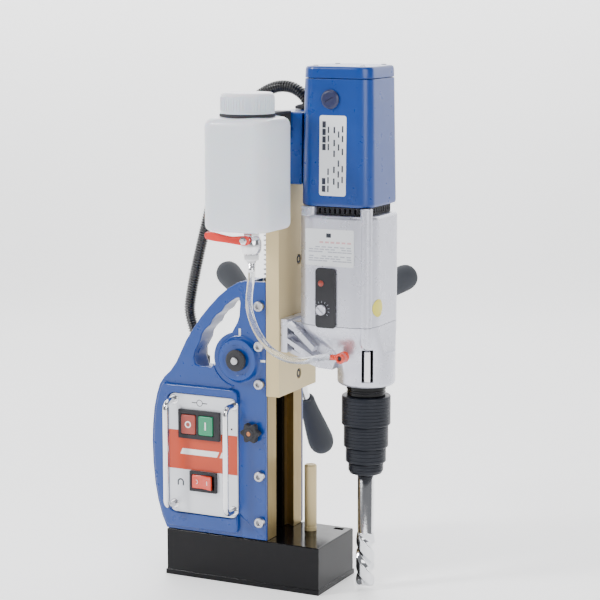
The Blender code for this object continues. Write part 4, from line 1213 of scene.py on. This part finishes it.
class PRESS_OT_gear_case(bpy.types.Operator):
    """Upper and lower gear case with pilaster, foot, webs and drift slot"""

    bl_idname = "press.gear_case"
    bl_label = "Gear case"

    def execute(self, context):
        seam, top = span("gear_case_upper")[2][0], 370.0
        self.upper(seam, top)
        self.lower(seam)
        self.vent(top)
        return {"FINISHED"}

    def ring(self, outline, z, share=1.0):
        middle_x = CASE_CENTRE[0]
        return [(middle_x + (x - middle_x) * share, y * share, z) for x, y in outline]

    def upper(self, seam, top):
        square = rounded_box(80, 80, 22, CASE_CENTRE, 14)
        rings = [self.ring(square, seam, 0.992), self.ring(square, seam + 0.5),
                 self.ring(square, top - 3.5), self.ring(square, top - 1.8, 0.992),
                 self.ring(square, top - 0.6, 0.975), self.ring(square, top, 0.95)]
        case = loft("upper_case", rings, SILVER)
        ear = [(0, 377.6), (5.2, 377.6), (5.8, 377), (6.0, seam + 0.2), (0, seam + 0.2)]
        join(case, turned("pilaster", ear, at(*PILASTER, 0), SILVER, 40))
        shoulder = rounded_box(15, 11, 4, (70.5, -33), 6)
        join(case, plate("shoulder", [shoulder], 9, at(0, 0, 373.2), SILVER, 0.6, 2))
        room = rounded_box(72, 72, 18, CASE_CENTRE)
        cut(case, plate("gear_room", [room], 180, at(0, 0, 274), SILVER))
        drilled(case, 9, 395, 355, at(*CASE_CENTRE, 0), 40)
        drilled(case, 2.8, 50, 30, facing(DIAL_X, DIAL_Z), 24)
        soften(case, 0.5, 3, 40)
        settle(case, "gear_case_upper")

    def vent(self, top):
        """The dark slotted ring between gear case and motor."""
        outline = rounded_box(66, 66, 14, CASE_CENTRE, 12)
        ring = plate("vent_ring", [outline, rounded_box(58, 58, 11, CASE_CENTRE, 12)], 7.4,
                     at(0, 0, top + 3.9), "black_plastic", 0.4, 2)
        slot = box("vent_slot", (-1.1, -8, -2.3), (1.1, 8, 2.3), "black_plastic")
        places = []
        for i in range(-4, 5):
            places.append(((CASE_CENTRE[0] + i * 5.2, -33, top + 4), (0, 0, 0)))
            places.append(((CASE_CENTRE[0] + i * 5.2, 33, top + 4), (0, 0, 0)))
            places.append(((CASE_CENTRE[0] + 33, i * 5.2, top + 4), (0, 0, math.pi / 2)))
        slots = copies("vent_slots", slot, places, "black_plastic")
        cut(ring, slots)
        settle(soften(ring, 0.15, 2), body="carriage", slot="black_plastic")

    def lower(self, seam):
        square = rounded_box(80, 80, 22, CASE_CENTRE, 14)
        rings = []
        steps = ((218, 0.0), (226, 0.03), (233, 0.13), (240, 0.30), (247, 0.54), (253, 0.76),
                 (258, 0.91), (261.5, 0.975), (seam - 0.8, 1.0), (seam - 0.3, 0.992))
        for z, share in steps:
            ring = []
            for x, y in square:
                angle = math.atan2(y, x - CASE_CENTRE[0])
                round_x, round_y = SPINDLE_X + 28 * math.cos(angle), 28 * math.sin(angle)
                ring.append((round_x * (1 - share) + x * share,
                             round_y * (1 - share) + y * share, z))
            rings.append(ring)
        case = loft("lower_case", rings, SILVER)
        nose = [(0, 238), (28, 238), (28, 208.5), (27.2, 206.6), (25.4, 205.2), (0, 205.2)]
        join(case, turned("nose", nose, at(SPINDLE_X, 0, 0), SILVER, 72))
        self.foot(case, seam)
        ear = [(0, seam - 0.35), (5.9, seam - 0.35), (5.7, 250), (4.4, 246), (0, 243.5)]
        join(case, turned("ear", ear, at(*PILASTER, 0), SILVER, 40))
        drilled(case, 20, 280, 200, at(SPINDLE_X, 0, 0), 56)
        cut(case, plate("lower_room", [rounded_box(66, 66, 16, CASE_CENTRE)], 24, at(0, 0, 266),
                        SILVER))
        self.slots(case)
        soften(case, 0.5, 3, 38)
        settle(case, "gear_case_lower")

    def foot(self, case, seam):
        """The bolted foot and the two inclined ribs on its near side."""
        front = span("carriage_slide")[0][1] + 0.3
        web = [(front + 1, 237.4), (48, 233.4), (56.5, 230.8), (66, 225.4), (78, 221.6),
               (92, 221), (100, 240), (100, seam - 0.9), (56, seam - 0.9), (front + 3, 266.6),
               (front + 1, 266.6)]
        join(case, plate("web", [web], 55.4, facing(0, 0), SILVER))
        join(case, box("flange", (front, -37.6, 236), (front + 7, 37.6, 268), SILVER))
        for lift in (0.0, -15.5):
            rib = [(front + 1, 262.5 + lift), (front + 3, 267.5 + lift), (62, 258.6 + lift),
                   (78, 243.5 + lift * 0.6), (76, 239 + lift * 0.6), (60, 253 + lift)]
            join(case, slab("rib", [rib], 9.2, -33.2, SILVER))

    def slots(self, case):
        for x, z in ((49.5, 257.5), (49.5, 242.2)):
            slot = [(x, z + 3.2), (x, z - 4.4), (x + 7.5, z - 8.2), (x + 7.5, z - 1.2)]
            cut(case, slab("web_slot", [slot], 30, -25, SILVER))
        drift = box("drift", (-5.5, -40, 211), (5.5, -12, 243), SILVER)
        drift.data.transform(at(SPINDLE_X, 0, 0, SPINDLE_TURN))
        cut(case, drift)


class PRESS_OT_motor(bpy.types.Operator):
    """Motor housing, its cap with screws, rear cover and brush caps"""

    bl_idname = "press.motor"
    bl_label = "Motor"

    def execute(self, context):
        (x0, x1), (y0, y1), (low, seam) = span("motor_housing")
        top = span("motor_cap")[2][1]
        wide, narrow = y1 - y0, 70.0
        centre = ((x0 + x1) / 2, 0.0)
        square = rounded_box(wide, wide, 14, centre, 12)

        def ring(z, share):
            grow = share * (1 - (1 - narrow / wide) * (z - low) / (seam - low))
            return [(centre[0] + (x - centre[0]) * grow, y * grow, z) for x, y in square]

        shell = loft("motor_shell", [ring(low, 0.978), ring(low + 1.2, 0.994), ring(low + 3, 1.0),
                                     ring(seam - 1.0, 1.0), ring(seam - 0.3, 0.992)], BLUE)
        room = rounded_box(64, 64, 11, centre)
        cut(shell, plate("motor_room", [room], 160, at(0, 0, 438), BLUE))
        settle(soften(shell, 0.3, 2, 40), "motor_housing")
        cap = [ring(seam + 0.3, 0.99), ring(seam + 1.0, 1.0), ring(top - 3.2, 0.995),
               ring(top - 1.4, 0.98), ring(top - 0.4, 0.95), ring(top, 0.90)]
        cap = loft("motor_lid", cap, BLUE)
        settle(soften(cap, 0.3, 2, 50), "motor_cap")
        self.screws(centre, top)
        self.rear()
        self.brushes()
        refined("stator", "stator_stack", "machined_steel", 0.3, 2)
        return {"FINISHED"}

    def screws(self, centre, top):
        places = [((centre[0] + sx * 24, sy * 24, top - 0.4), (0, 0, 0.6))
                  for sx in (-1, 1) for sy in (-1, 1)]
        head = slotted_screw("lid_screw", 2.6, 1.0, "black_chrome")
        settle(copies("lid_screws", head, places, "black_chrome"), body="carriage", slot="steel")

    def rear(self):
        (x0, x1), (y0, y1), (z0, z1) = span("rear_cover")
        outline = [(x1, y0), (x1, y1)] + arc((x0 + 4, y1 - 4), 4, 90, 180, 6)
        outline += arc((x0 + 4, y0 + 4), 4, 180, 270, 6)
        cover = plate("rear_box", [outline], z1 - z0, at(0, 0, (z0 + z1) / 2), BLUE, 1.4, 3)
        cut(cover, box("rear_room", (x0 + 2.5, y0 + 3, z0 + 2.5), (x1 + 6, y1 - 3, z1 - 3), BLUE))
        drilled(cover, 6.3, z1 + 5, z1 - 10, at(44.5, 16, 0), 32)
        settle(soften(cover, 0.3, 2, 40), "rear_cover")
        places = [((x0 - 0.1, sy * 20, z), (0, -math.pi / 2, 0))
                  for sy in (-1, 1) for z in (z0 + 7, z1 - 7)]
        head = slotted_screw("cover_screw", 2.4, 1.2, "chrome")
        settle(copies("cover_screws", head, places, "chrome"), body="carriage", slot="steel")

    def brushes(self):
        x, z = 93.5, 478.4
        profile = [(0, 38.9), (6.6, 38.9), (7.6, 38.5), (9, 37.2), (9, 35.6), (5, 35.6),
                   (5, 13.5), (0, 13.5)]
        for name, turn, node in (("near_brush_cap", FACE_NEAR, "brush_cap"),
                                 ("far_brush_cap", ALONG_Y, None)):
            cap = turned(name, profile, at(x, 0, z, turn), "navy_plastic", 56)
            blade = box("blade", (-4.4, -0.7, 38.1), (4.4, 0.7, 40), "navy_plastic")
            blade.data.transform(at(x, 0, z, turn) @ Matrix.Rotation(0.5, 4, "Z"))
            cut(cap, blade)
            soften(cap, 0.15, 2)
            settle(cap, node, body="carriage", slot="black_plastic")


class PRESS_OT_labels(bpy.types.Operator):
    """Plain labels: speed plate, information label, nameplate and round sign"""

    bl_idname = "press.labels"
    bl_label = "Labels"

    def execute(self, context):
        self.speed_plate()
        self.information()
        self.nameplate()
        self.round_sign()
        return {"FINISHED"}

    def speed_plate(self):
        width, height, centre, y0, y1 = face("speed_plate")
        outline = rounded_box(width, height, 3.5, centre)
        body = slab("speed_cover", [outline, circle(2.8, (DIAL_X, DIAL_Z), 24)], y1 - y0,
                    (y0 + y1) / 2, "black_plastic", 0.7, 3)
        settle(soften(body, 0), "speed_plate")
        y = y0 - 0.05
        lens = [(0, 43.6), (1.6, 43.5), (2.6, 43.0), (3.0, 42.2), (0, 42.2)]
        lens = turned("speed_lens", lens, facing(87, 306), "dull_red", 40)
        settle(lens, body="carriage", slot="red_plastic")
        ticks = [((88 + 7.4 * math.cos(a), y, 281 + 7.4 * math.sin(a)), (0, -a, 0))
                 for a in [math.radians(d) for d in range(-40, 221, 26)]]
        tick = box("tick", (-0.9, -0.06, -0.2), (0.9, 0.06, 0.2), "grey_print")
        settle(copies("speed_ticks", tick, ticks, "grey_print"), body="carriage",
               slot="black_plastic")
        self.dial()

    def dial(self):
        dial = [(0, 46), (4.3, 46), (5, 45.3), (5, 42.8), (2.4, 42.7), (2.4, 32), (0, 32)]
        dial = turned("speed_dial", dial, facing(DIAL_X, DIAL_Z), "silver_paint", 56)
        blade = box("blade", (-6, -0.75, 45), (6, 0.75, 48), "silver_paint")
        blade.data.transform(facing(DIAL_X, DIAL_Z) @ Matrix.Rotation(-0.75, 4, "Z"))
        cut(dial, blade)
        settle(soften(dial, 0.2, 2), "selector_dial")

    def information(self):
        """A pale sheet on the gear case with a plain mark and rows of bars."""
        y = -40.12
        outline = rounded_box(50, 35, 1.5, (95, 340))
        sheet = slab("info_sheet", [outline], 0.2, y, "label_white")
        settle(soften(sheet, 0), body="carriage", slot="silver_cast")
        y -= 0.14
        mark = slab("info_mark", [rounded_box(5, 4, 0.6, (94, 351.5))], 0.14, y, "dark_print")
        settle(mark, body="carriage", slot="silver_cast")
        pink = bars("info_heading", 78, 118, [345.0], y, 1.6, "pink_print")
        settle(pink, body="carriage", slot="silver_cast")
        rows = [340.5, 338.2, 335.9, 331.8, 329.6, 327.4]
        grey = bars("info_rows", 73, 118, rows, y, 1.0, "grey_print")
        settle(grey, body="carriage", slot="silver_cast")

    def nameplate(self):
        lean = Matrix.Rotation(math.atan2(-2.0, 119.2), 4, "X")
        place = at(96.2, -36.3, 426, lean @ FACE_NEAR)
        outline = rounded_box(27.4, 75, 2.4, (0, 0))
        sheet = plate("nameplate", [outline], 0.3, place, "label_white")
        settle(soften(sheet, 0), body="carriage", slot="panel_plate")
        bar = box("bar", (-0.9, -3.0, 0.1), (0.9, 3.0, 0.24), "dark_print")
        pieces = []
        columns = ((-9, 2.0, (-31, -24, 8, 15, 22, 29)), (-4.5, 0.8, (-31, -23, -15, 8, 16, 24)),
                   (1.5, 0.9, (-24, -13, 2, 12, 24)), (6, 0.8, (-27, -17, -7, 8, 20)),
                   (10, 0.8, (-22, -12, 4, 16, 25)))
        for x, width, heights in columns:
            for y in heights:
                piece = new_object("print", bar.data.copy())
                piece.data.transform(place @ at(x, y, 0) @ Matrix.Diagonal((width, 1, 1, 1)))
                pieces.append(piece)
        bpy.data.objects.remove(bar, do_unlink=True)
        settle(merge("nameplate_print", pieces), body="carriage", slot="panel_plate")

    def round_sign(self):
        """A yellow disc laid round the gear case's near front corner."""
        disc = bmesh.new()
        bmesh.ops.create_circle(disc, cap_ends=True, segments=48, radius=8.5 * MM)
        bmesh.ops.inset_region(disc, faces=disc.faces, thickness=2 * MM)
        bmesh.ops.triangulate(disc, faces=disc.faces)
        bmesh.ops.subdivide_edges(disc, edges=disc.edges, cuts=3, use_grid_fill=True)
        corner, radius = Vector((115.0, -18.0)), 22.22
        for vert in disc.verts:
            along, up = vert.co.x / MM - 3.0, vert.co.y / MM
            angle = min(0.0, along / radius)
            vert.co = Vector((corner.x + radius * math.cos(angle),
                              corner.y + radius * math.sin(angle) + max(0.0, along),
                              283 + up)) * MM
        bmesh.ops.recalc_face_normals(disc, faces=disc.faces)
        sign = add_mesh("round_sign", new_mesh("round_sign", disc), "yellow_print")
        step = sign.modifiers.new("Thickness", "SOLIDIFY")
        step.thickness = 0.16 * MM
        step.offset = 0.0
        bake(sign)
        sign.data.shade_smooth()
        settle(sign, body="carriage", slot="silver_cast")


class PRESS_OT_spindle(bpy.types.Operator):
    """Spindle, stepped chuck sleeve, fluted drill and the gears inside"""

    bl_idname = "press.spindle"
    bl_label = "Spindle"

    def execute(self, context):
        refined("armature", "rotor", "copper_winding", 0.15, 2)
        refined("intermediate_gear", "middle_gear_pair", "machined_steel", 0.1, 2)
        refined("spindle_bearing", "bearing_ring", "machined_steel", 0.3, 2)
        self.spindle()
        self.sleeve(context.scene.press_sizes.groove_pitch)
        self.drill()
        pin = [(0, 214), (3, 214), (3, 7), (0, 3)]
        settle(turned("pilot", pin, at(SPINDLE_X, 0, 0), "machined_steel", 32), "pilot_pin")
        return {"FINISHED"}

    def spindle(self):
        refined("spindle", "spindle_shaft", "black_oxide", 0.2, 2)
        collar = [(18.9, 204.4), (19.2, 204), (19.2, 200.5), (18.5, 199.8), (18.5, 198.6),
                  (19.0, 198), (19.0, 195.2), (18.4, 194.8), (14.5, 194.8), (14.5, 204.4)]
        collar = turned("spindle_collar", collar, at(SPINDLE_X, 0, 0), "black_enamel", 64, True)
        settle(collar, body="spindle", slot="steel")
        bar = box("drift_bar", (-3.2, -26.4, 206), (3.2, -19.4, 241), "chrome")
        bar.data.transform(at(SPINDLE_X, 0, 0, SPINDLE_TURN))
        settle(soften(bar, 1.2, 4), body="carriage", slot="chrome")

    def sleeve(self, pitch):
        """Steps of falling diameter, grooved all the way down."""
        profile = []
        steps = ((23.7, 194.1, 165.2), (21.6, 165.0, 143.2), (19.6, 143.0, 128.2),
                 (17.0, 128.0, 119.0))
        for radius, top, bottom in steps:
            profile += [(radius - 1.2, top), (radius - 0.3, top - 0.5), (radius, top - 1.4)]
            count = max(1, round((top - bottom - 3) / pitch))
            gap = (top - bottom) / (count + 1)
            for i in range(1, count + 1):
                z = top - i * gap
                profile += [(radius, z + 0.5), (radius - 0.3, z + 0.2), (radius - 0.3, z - 0.2),
                            (radius, z - 0.5)]
            profile += [(radius, bottom + 1.0), (radius - 0.7, bottom + 0.2)]
        profile += [(15.6, 117.4), (13.5, 116.5), (9.6, 116.5), (9.6, 120.6), (14.4, 120.6),
                    (14.4, 194.1)]
        sleeve = turned("stepped_sleeve", profile, at(SPINDLE_X, 0, 0), "black_oxide", 72, True)
        settle(sleeve, "chuck_sleeve")

    def drill(self):
        """A bright shank over a cutter with two twisted flutes."""
        rings = []
        top, bottom, turns = 58.0, 5.0, 1.05
        levels, sides = 60, 72
        neck_radius, land, flute_depth = 8.15, 0.95, 3.9
        for level in range(levels + 1):
            part = level / levels
            z = top + (bottom - top) * part
            twist = part * turns * 2 * math.pi
            deep = min(1.0, part * 7)
            ring = []
            for i in range(sides):
                angle = 2 * math.pi * i / sides
                groove = max(0.0, -math.cos(2 * angle) - 0.1)
                radius = neck_radius + land * deep - flute_depth * deep * groove ** 0.8
                end = max(0.0, part - 0.96) * 40
                radius -= end * 0.35
                ring.append((SPINDLE_X + radius * math.cos(angle + twist),
                             radius * math.sin(angle + twist), z))
            rings.append(ring)
        cutter = loft("drill_cutter", rings, "bright_steel")
        shank = [(0, 181.5), (7.6, 181.5), (8.1, 181), (8.1, 57.5), (0, 57.5)]
        join(cutter, turned("shank", shank, at(SPINDLE_X, 0, 0), "bright_steel", 48))
        drilled(cutter, 3.3, 215, 0, at(SPINDLE_X, 0, 0), 24)
        settle(smooth(cutter, 48), "core_drill")


class PRESS_OT_bottle(bpy.types.Operator):
    """Coolant bottle, its ribbed cap, holder and the ball valve with its lever"""

    bl_idname = "press.bottle"
    bl_label = "Coolant bottle"

    def execute(self, context):
        (x0, x1), (y0, y1), (z0, z1) = span("bottle")
        centre = ((x0 + x1) / 2, (y0 + y1) / 2)
        self.shell(x1 - x0, centre, z0, z1)
        self.cap(centre)
        self.holder(centre)
        self.valve(centre)
        return {"FINISHED"}

    def shell(self, width, centre, low, high):
        shoulder = 463.4
        square = rounded_box(width, width, 13, centre, 10)
        angles = [math.atan2(y - centre[1], x - centre[0]) for x, y in square]

        def ring(z, share, roundness=0.0):
            out = []
            for (x, y), angle in zip(square, angles):
                sx, sy = centre[0] + (x - centre[0]) * share, centre[1] + (y - centre[1]) * share
                rx = centre[0] + 20.5 * math.cos(angle)
                ry = centre[1] + 20.5 * math.sin(angle)
                out.append((sx * (1 - roundness) + rx * roundness,
                            sy * (1 - roundness) + ry * roundness, z))
            return out

        rings = [ring(low, 0.88), ring(low + 0.5, 0.93), ring(low + 2.2, 0.975),
                 ring(low + 5, 1.0), ring(low + 30, 0.998), ring(shoulder - 32, 0.998),
                 ring(shoulder - 9, 1.0), ring(shoulder - 5.6, 0.985), ring(shoulder - 2.6, 0.94),
                 ring(shoulder - 0.8, 0.86), ring(shoulder, 0.76, 0.1),
                 ring(shoulder + 0.6, 0.7, 0.6),
                 ring(shoulder + 1.4, 0.6, 1.0), ring(high - 0.4, 0.6, 1.0)]
        bottle = loft("coolant_bottle", rings, "bottle_plastic")
        inner = [ring(low + 2.2, 0.86), ring(low + 5, 0.945), ring(shoulder - 10, 0.945),
                 ring(shoulder - 5, 0.88)]
        cut(bottle, loft("inside", inner, "bottle_plastic"))
        drilled(bottle, 18, 490, shoulder - 12, at(*centre, 0), 40)
        drilled(bottle, 4.2, low + 10, low - 5, at(35, centre[1], 0), 24)
        settle(smooth(bottle, 40), "bottle")

    def cap(self, centre):
        profile = [(0, 486), (19, 486), (22.8, 485.6), (24.4, 484.2), (24.8, 482.5),
                   (24.8, 468.4), (25.4, 467.8), (25.4, 466.7), (21, 466.7), (21, 482.4),
                   (0, 482.4)]
        cap = turned("screw_cap", profile, at(*centre, 0), "bottle_plastic", 72)
        settle(cap, "bottle_cap")
        rib = box("rib", (-0.35, -0.45, -6.5), (0.55, 0.45, 6.5), "bottle_plastic")
        soften(rib, 0.25, 2)
        ribs = copies("cap_ribs", rib, ring_places(centre, 24.8, 54, 475.6), "bottle_plastic")
        settle(ribs, body="bottle_cap", slot="bottle_white")

    def holder(self, centre):
        strap = plate("bottle_strap", [circle(26, centre, 64), circle(21, centre, 64)], 2.4,
                      at(0, 0, 465.1), "black_plastic", 0.5, 2)
        join(strap, box("arm", (34, -60, 464.1), (48, -26.5, 466.1), "black_plastic"))
        join(strap, box("tab", (34, -29, 440), (48, -26.45, 466.0), "black_plastic"))
        settle(soften(strap, 0.4, 2, 40), "bottle_holder")
        places = [((x, -29, 446), (math.pi / 2, 0, 0)) for x in (38, 44)]
        head = slotted_screw("holder_screw", 2.2, 1.4, "chrome")
        settle(copies("holder_screws", head, places, "chrome"), body="carriage", slot="steel")

    def valve(self, centre):
        x, y = 35.0, centre[1]
        z = 344.0
        profile = [(0, 366), (4, 366), (4, 358.6), (6, 358.5), (6, 353), (7.2, 352.4),
                   (8.6, 350.4), (9.4, 347.5), (9.6, 344), (9.4, 340.6), (8.4, 337.4), (6.6, 336),
                   (6.2, 330.2), (4.2, 329.6), (4.2, 327.8), (3.2, 327.2), (3.9, 325.6),
                   (3.0, 325), (3.8, 323.4), (3.0, 322.8), (3.6, 321.2), (2.8, 319), (0, 319)]
        body = turned("valve_casting", profile, at(x, y, 0), "chrome", 56)
        for low, high, width in ((353.4, 358.6, 8.2), (330.6, 335.8, 7.8)):
            join(body, plate("nut", [circle(width, sides=6)], high - low,
                             at(x, y, (low + high) / 2), "chrome", 0.5, 2))
        stem = [(0, 96), (3, 96), (3, 92), (4.6, 91.6), (4.6, 88.6), (3.4, 88), (3.4, 83), (0, 83)]
        join(body, turned("stem", stem, facing(x, z + 6), "chrome", 32))
        settle(soften(body, 0.2, 2, 35), "valve_body")
        self.lever(x, z + 6)

    def lever(self, x, z):
        """A cranked flat lever with a soft thumb end."""
        outline = [(x + 5, z - 3), (x + 5, z + 3), (x + 2, z + 4.4), (x - 4, z + 4.2),
                   (x - 12, z + 3.4), (x - 20, z + 4.2), (x - 31, z + 6.2), (x - 38, z + 6.4),
                   (x - 40.5, z + 4.6), (x - 40.6, z + 1.2), (x - 38, z - 0.9), (x - 29, z - 2.2),
                   (x - 18, z - 2.9), (x - 8, z - 3.9), (x, z - 4.4)]
        lever = slab("tap_lever", [smooth_loop(outline, 4)], 3.6, -98.3, "red_plastic", 1.0, 3)
        settle(soften(lever, 0), "valve_lever")
        nut = [(0, 102), (2.2, 102), (2.2, 100.4), (3.9, 100.2), (3.9, 98), (0, 98)]
        nut = turned("lever_nut", nut, facing(x, z), "chrome", 6)
        settle(nut, body="valve_lever", slot="chrome")


class PRESS_OT_lines(bpy.types.Operator):
    """Clear coolant hose with its fitting, and the ribbed conduit with its glands"""

    bl_idname = "press.lines"
    bl_label = "Hose and conduit"

    def execute(self, context):
        self.hose()
        self.conduit(context.scene.press_sizes.rib_pitch)
        self.fitting()
        self.gland("conduit_gland_lower", "housing_gland", -80, 20)
        self.gland("conduit_gland_upper", "motor_gland", 44.5, 16)
        return {"FINISHED"}

    def hose(self):
        route = [(35, -83.5, 318.6), (34.6, -83.5, 311), (32.5, -83.2, 297), (32.2, -82, 282),
                 (37.3, -79, 263.6), (46.8, -72, 246), (60, -62, 235), (73, -49, 232),
                 (84, -42.5, 234), (91, -41.1, 235.7), (96.4, -41, 236)]
        points = smooth_route(route, 8)
        hose = rod("coolant_hose", points, 3.3, "clear_tube", 6)
        settle(hose, "hose")

    def conduit(self, pitch):
        route = [(-80, 20, 226.4), (-85, 20, 240), (-89.5, 20, 258.4), (-86.7, 20, 279),
                 (-82, 20, 300), (-77, 20, 320.4), (-70.6, 20, 344), (-63, 20, 371.6),
                 (-53, 19, 402), (-41, 18, 433), (-28, 17, 456), (-14, 16, 472), (1, 16, 482),
                 (15, 16, 486.5), (28, 16, 485.5), (38, 16, 480.5), (43.6, 16, 474.5),
                 (44.5, 16, 470.4)]
        points = smooth_route(route, 6)
        conduit = ribbed("motor_conduit", points, 4.7, 5.2, 0.75, pitch, "conduit_plastic")
        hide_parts("conduit")
        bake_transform(conduit)

    def fitting(self):
        x, z = 107.6, 236.0
        profile = [(0, 43.4), (2.3, 43.4), (2.6, 45.4), (3.8, 45.4), (4.6, 44.6), (5.2, 43.6),
                   (5.2, 38.4), (4.4, 37.6), (4.4, 35.6), (5.4, 35.2), (5.4, 33.6), (2.3, 33.4),
                   (2.3, 22), (0, 22)]
        body = turned("hose_elbow", profile, facing(x, z), "lit_red", 40)
        barb = [(0, -97), (2.4, -97), (3.0, -98.6), (2.4, -99), (3.0, -100.6), (2.4, -101),
                (3.2, -102.6), (3.4, -106), (0, -106)]
        join(body, turned("barb", barb, at(0, -41, z, Matrix.Rotation(-math.pi / 2, 4, "Y")),
                          "lit_red", 32))
        settle(soften(body, 0.15, 2, 35), "hose_fitting")
        # Painted shade: a black disc sits in the fitting's shallow open end, standing in for the
        # shadow in its bore.
        core = [(0, 44.2), (1.5, 44.2), (2.2, 43.8), (2.2, 43.0), (0, 43.0)]
        core = turned("fitting_core", core, facing(x, z), "black_plastic", 32)
        settle(core, body="carriage", slot="black_plastic")

    def gland(self, node, name, x, y):
        _, _, (low, high) = span(node)
        nut, seat = (8.0, low + 12.4) if high - low > 20 else (3.0, low + 9.4)
        profile = [(6.6, high), (7.6, high - 0.2), (9.2, high - 0.5)]
        if nut > 5:
            profile += [(9.6, high - 1.6), (9.6, seat + nut + 0.2)]
        profile += [(11.4, seat + nut), (11.4, seat + 0.4), (6, seat), (6, low), (4, low),
                    (4, seat + 0.6), (6.6, seat + 1.4)]
        body = turned(name, profile, at(x, y, 0), "black_plastic", 48, True)
        settle(body, node)
        tall = nut / 2 - 0.4
        rib = box("rib", (-0.5, -0.55, -tall), (0.6, 0.55, tall), "black_plastic")
        soften(rib, 0.2, 2)
        ribs = copies(name + "_ribs", rib, ring_places((x, y), 11.3, 20, seat + nut / 2),
                      "black_plastic")
        settle(ribs, body=body_of(node), slot="black_plastic")


class PRESS_OT_interior(bpy.types.Operator):
    """The circuit board inside the housing"""

    bl_idname = "press.interior"
    bl_label = "Interior"

    def execute(self, context):
        refined("circuit_board", "control_board", "board_green", 0.2, 2)
        return {"FINISHED"}


class PRESS_OT_stage(bpy.types.Operator):
    """Pale floor, soft lights and the camera"""

    bl_idname = "press.stage"
    bl_label = "Studio"

    def execute(self, context):
        studio = context.scene.press_studio
        self.camera(studio)
        self.floor()
        for name, (place, width, share) in LIGHTS.items():
            self.light(name, place, width, studio.key * share)
        world = bpy.data.worlds.new("studio")
        world.use_nodes = True
        background = world.node_tree.nodes["Background"]
        background.inputs["Color"].default_value = (0.95, 0.96, 1.0, 1.0)
        background.inputs["Strength"].default_value = studio.world
        context.scene.world = world
        return {"FINISHED"}

    def camera(self, studio):
        lens = bpy.data.cameras.new("camera")
        lens.lens = studio.lens
        lens.sensor_width = 36.0
        camera = new_object("camera", lens)
        camera.location = CAMERA_PLACE
        camera.rotation_euler = (math.radians(90 - studio.pitch), 0, math.radians(studio.azimuth))
        bpy.context.scene.camera = camera

    def floor(self):
        """A floor that sweeps up into a wall behind the machine."""
        turn = Matrix.Rotation(math.radians(bpy.context.scene.press_studio.azimuth), 4, "Z")
        side = [(-14000, 0), (1500, 0)] + arc((1500, 900), 900, -90, 0, 24)[1:] + [(2400, 5000)]
        bm = bmesh.new()
        rows = [[bm.verts.new(turn @ (Vector((x, y, z)) * MM)) for x in (-9000, 0, 9000)]
                for y, z in side]
        for low, high in zip(rows, rows[1:]):
            for i in (0, 1):
                bm.faces.new((low[i], low[i + 1], high[i + 1], high[i]))
        weave = Weave("floor_paint")
        tone = weave.remap(weave.noise(3.0), 0.0, 1.0)
        weave.link(weave.mix(tone, (0.90, 0.90, 0.905), (0.94, 0.94, 0.945)),
                   weave.shader.inputs["Base Color"])
        weave.shader.inputs["Roughness"].default_value = 0.6
        weave.bump(weave.noise(60.0), 0.01)
        weave.shader.inputs["Emission Color"].default_value = (1.0, 1.0, 1.0, 1.0)
        parts = weave.add("ShaderNodeSeparateXYZ")
        weave.link(weave.coords, parts.inputs[0])
        weave.link(weave.remap(parts.outputs["Z"], 0.5, 2.0, 0.0, 0.6),
                   weave.shader.inputs["Emission Strength"])
        floor = add_mesh("floor", new_mesh("floor", bm), "floor_paint")
        floor.data.shade_smooth()

    def light(self, name, place, width, power):
        lamp = bpy.data.lights.new(name, "AREA")
        lamp.shape = "DISK"
        lamp.size = width
        lamp.energy = power
        light = new_object(name, lamp)
        light.location = place
        aim = STUDIO_AIM - Vector(place)
        light.rotation_euler = aim.to_track_quat("-Z", "Y").to_euler()


class PRESS_PT_panel(bpy.types.Panel):
    """Lists the pieces in the sidebar"""

    bl_idname = "PRESS_PT_panel"
    bl_label = "Drill press"
    bl_space_type = "VIEW_3D"
    bl_region_type = "UI"
    bl_category = "Drill press"

    def draw(self, context):
        for operator in OPERATORS:
            self.layout.operator(operator.bl_idname)


OPERATORS = (
    PRESS_OT_stage,
    PRESS_OT_lines,
    PRESS_OT_magnet,
    PRESS_OT_column,
    PRESS_OT_housing,
    PRESS_OT_housing_screws,
    PRESS_OT_panel,
    PRESS_OT_switches,
    PRESS_OT_feed,
    PRESS_OT_carriage,
    PRESS_OT_gear_case,
    PRESS_OT_motor,
    PRESS_OT_labels,
    PRESS_OT_spindle,
    PRESS_OT_bottle,
    PRESS_OT_interior,
)
CLASSES = (DrillPressColours, DrillPressSizes, DrillPressStudio) + OPERATORS + (PRESS_PT_panel,)


def register():
    for item in CLASSES:
        bpy.utils.register_class(item)
    bpy.types.Scene.press_colours = bpy.props.PointerProperty(type=DrillPressColours)
    bpy.types.Scene.press_sizes = bpy.props.PointerProperty(type=DrillPressSizes)
    bpy.types.Scene.press_studio = bpy.props.PointerProperty(type=DrillPressStudio)


def unregister():
    for name in ("press_colours", "press_sizes", "press_studio"):
        delattr(bpy.types.Scene, name)
    for item in reversed(CLASSES):
        bpy.utils.unregister_class(item)


def main():
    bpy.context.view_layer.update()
    register()
    for operator in OPERATORS:
        group, name = operator.bl_idname.split(".")
        getattr(getattr(bpy.ops, group), name)()


if __name__ == "__main__":
    main()
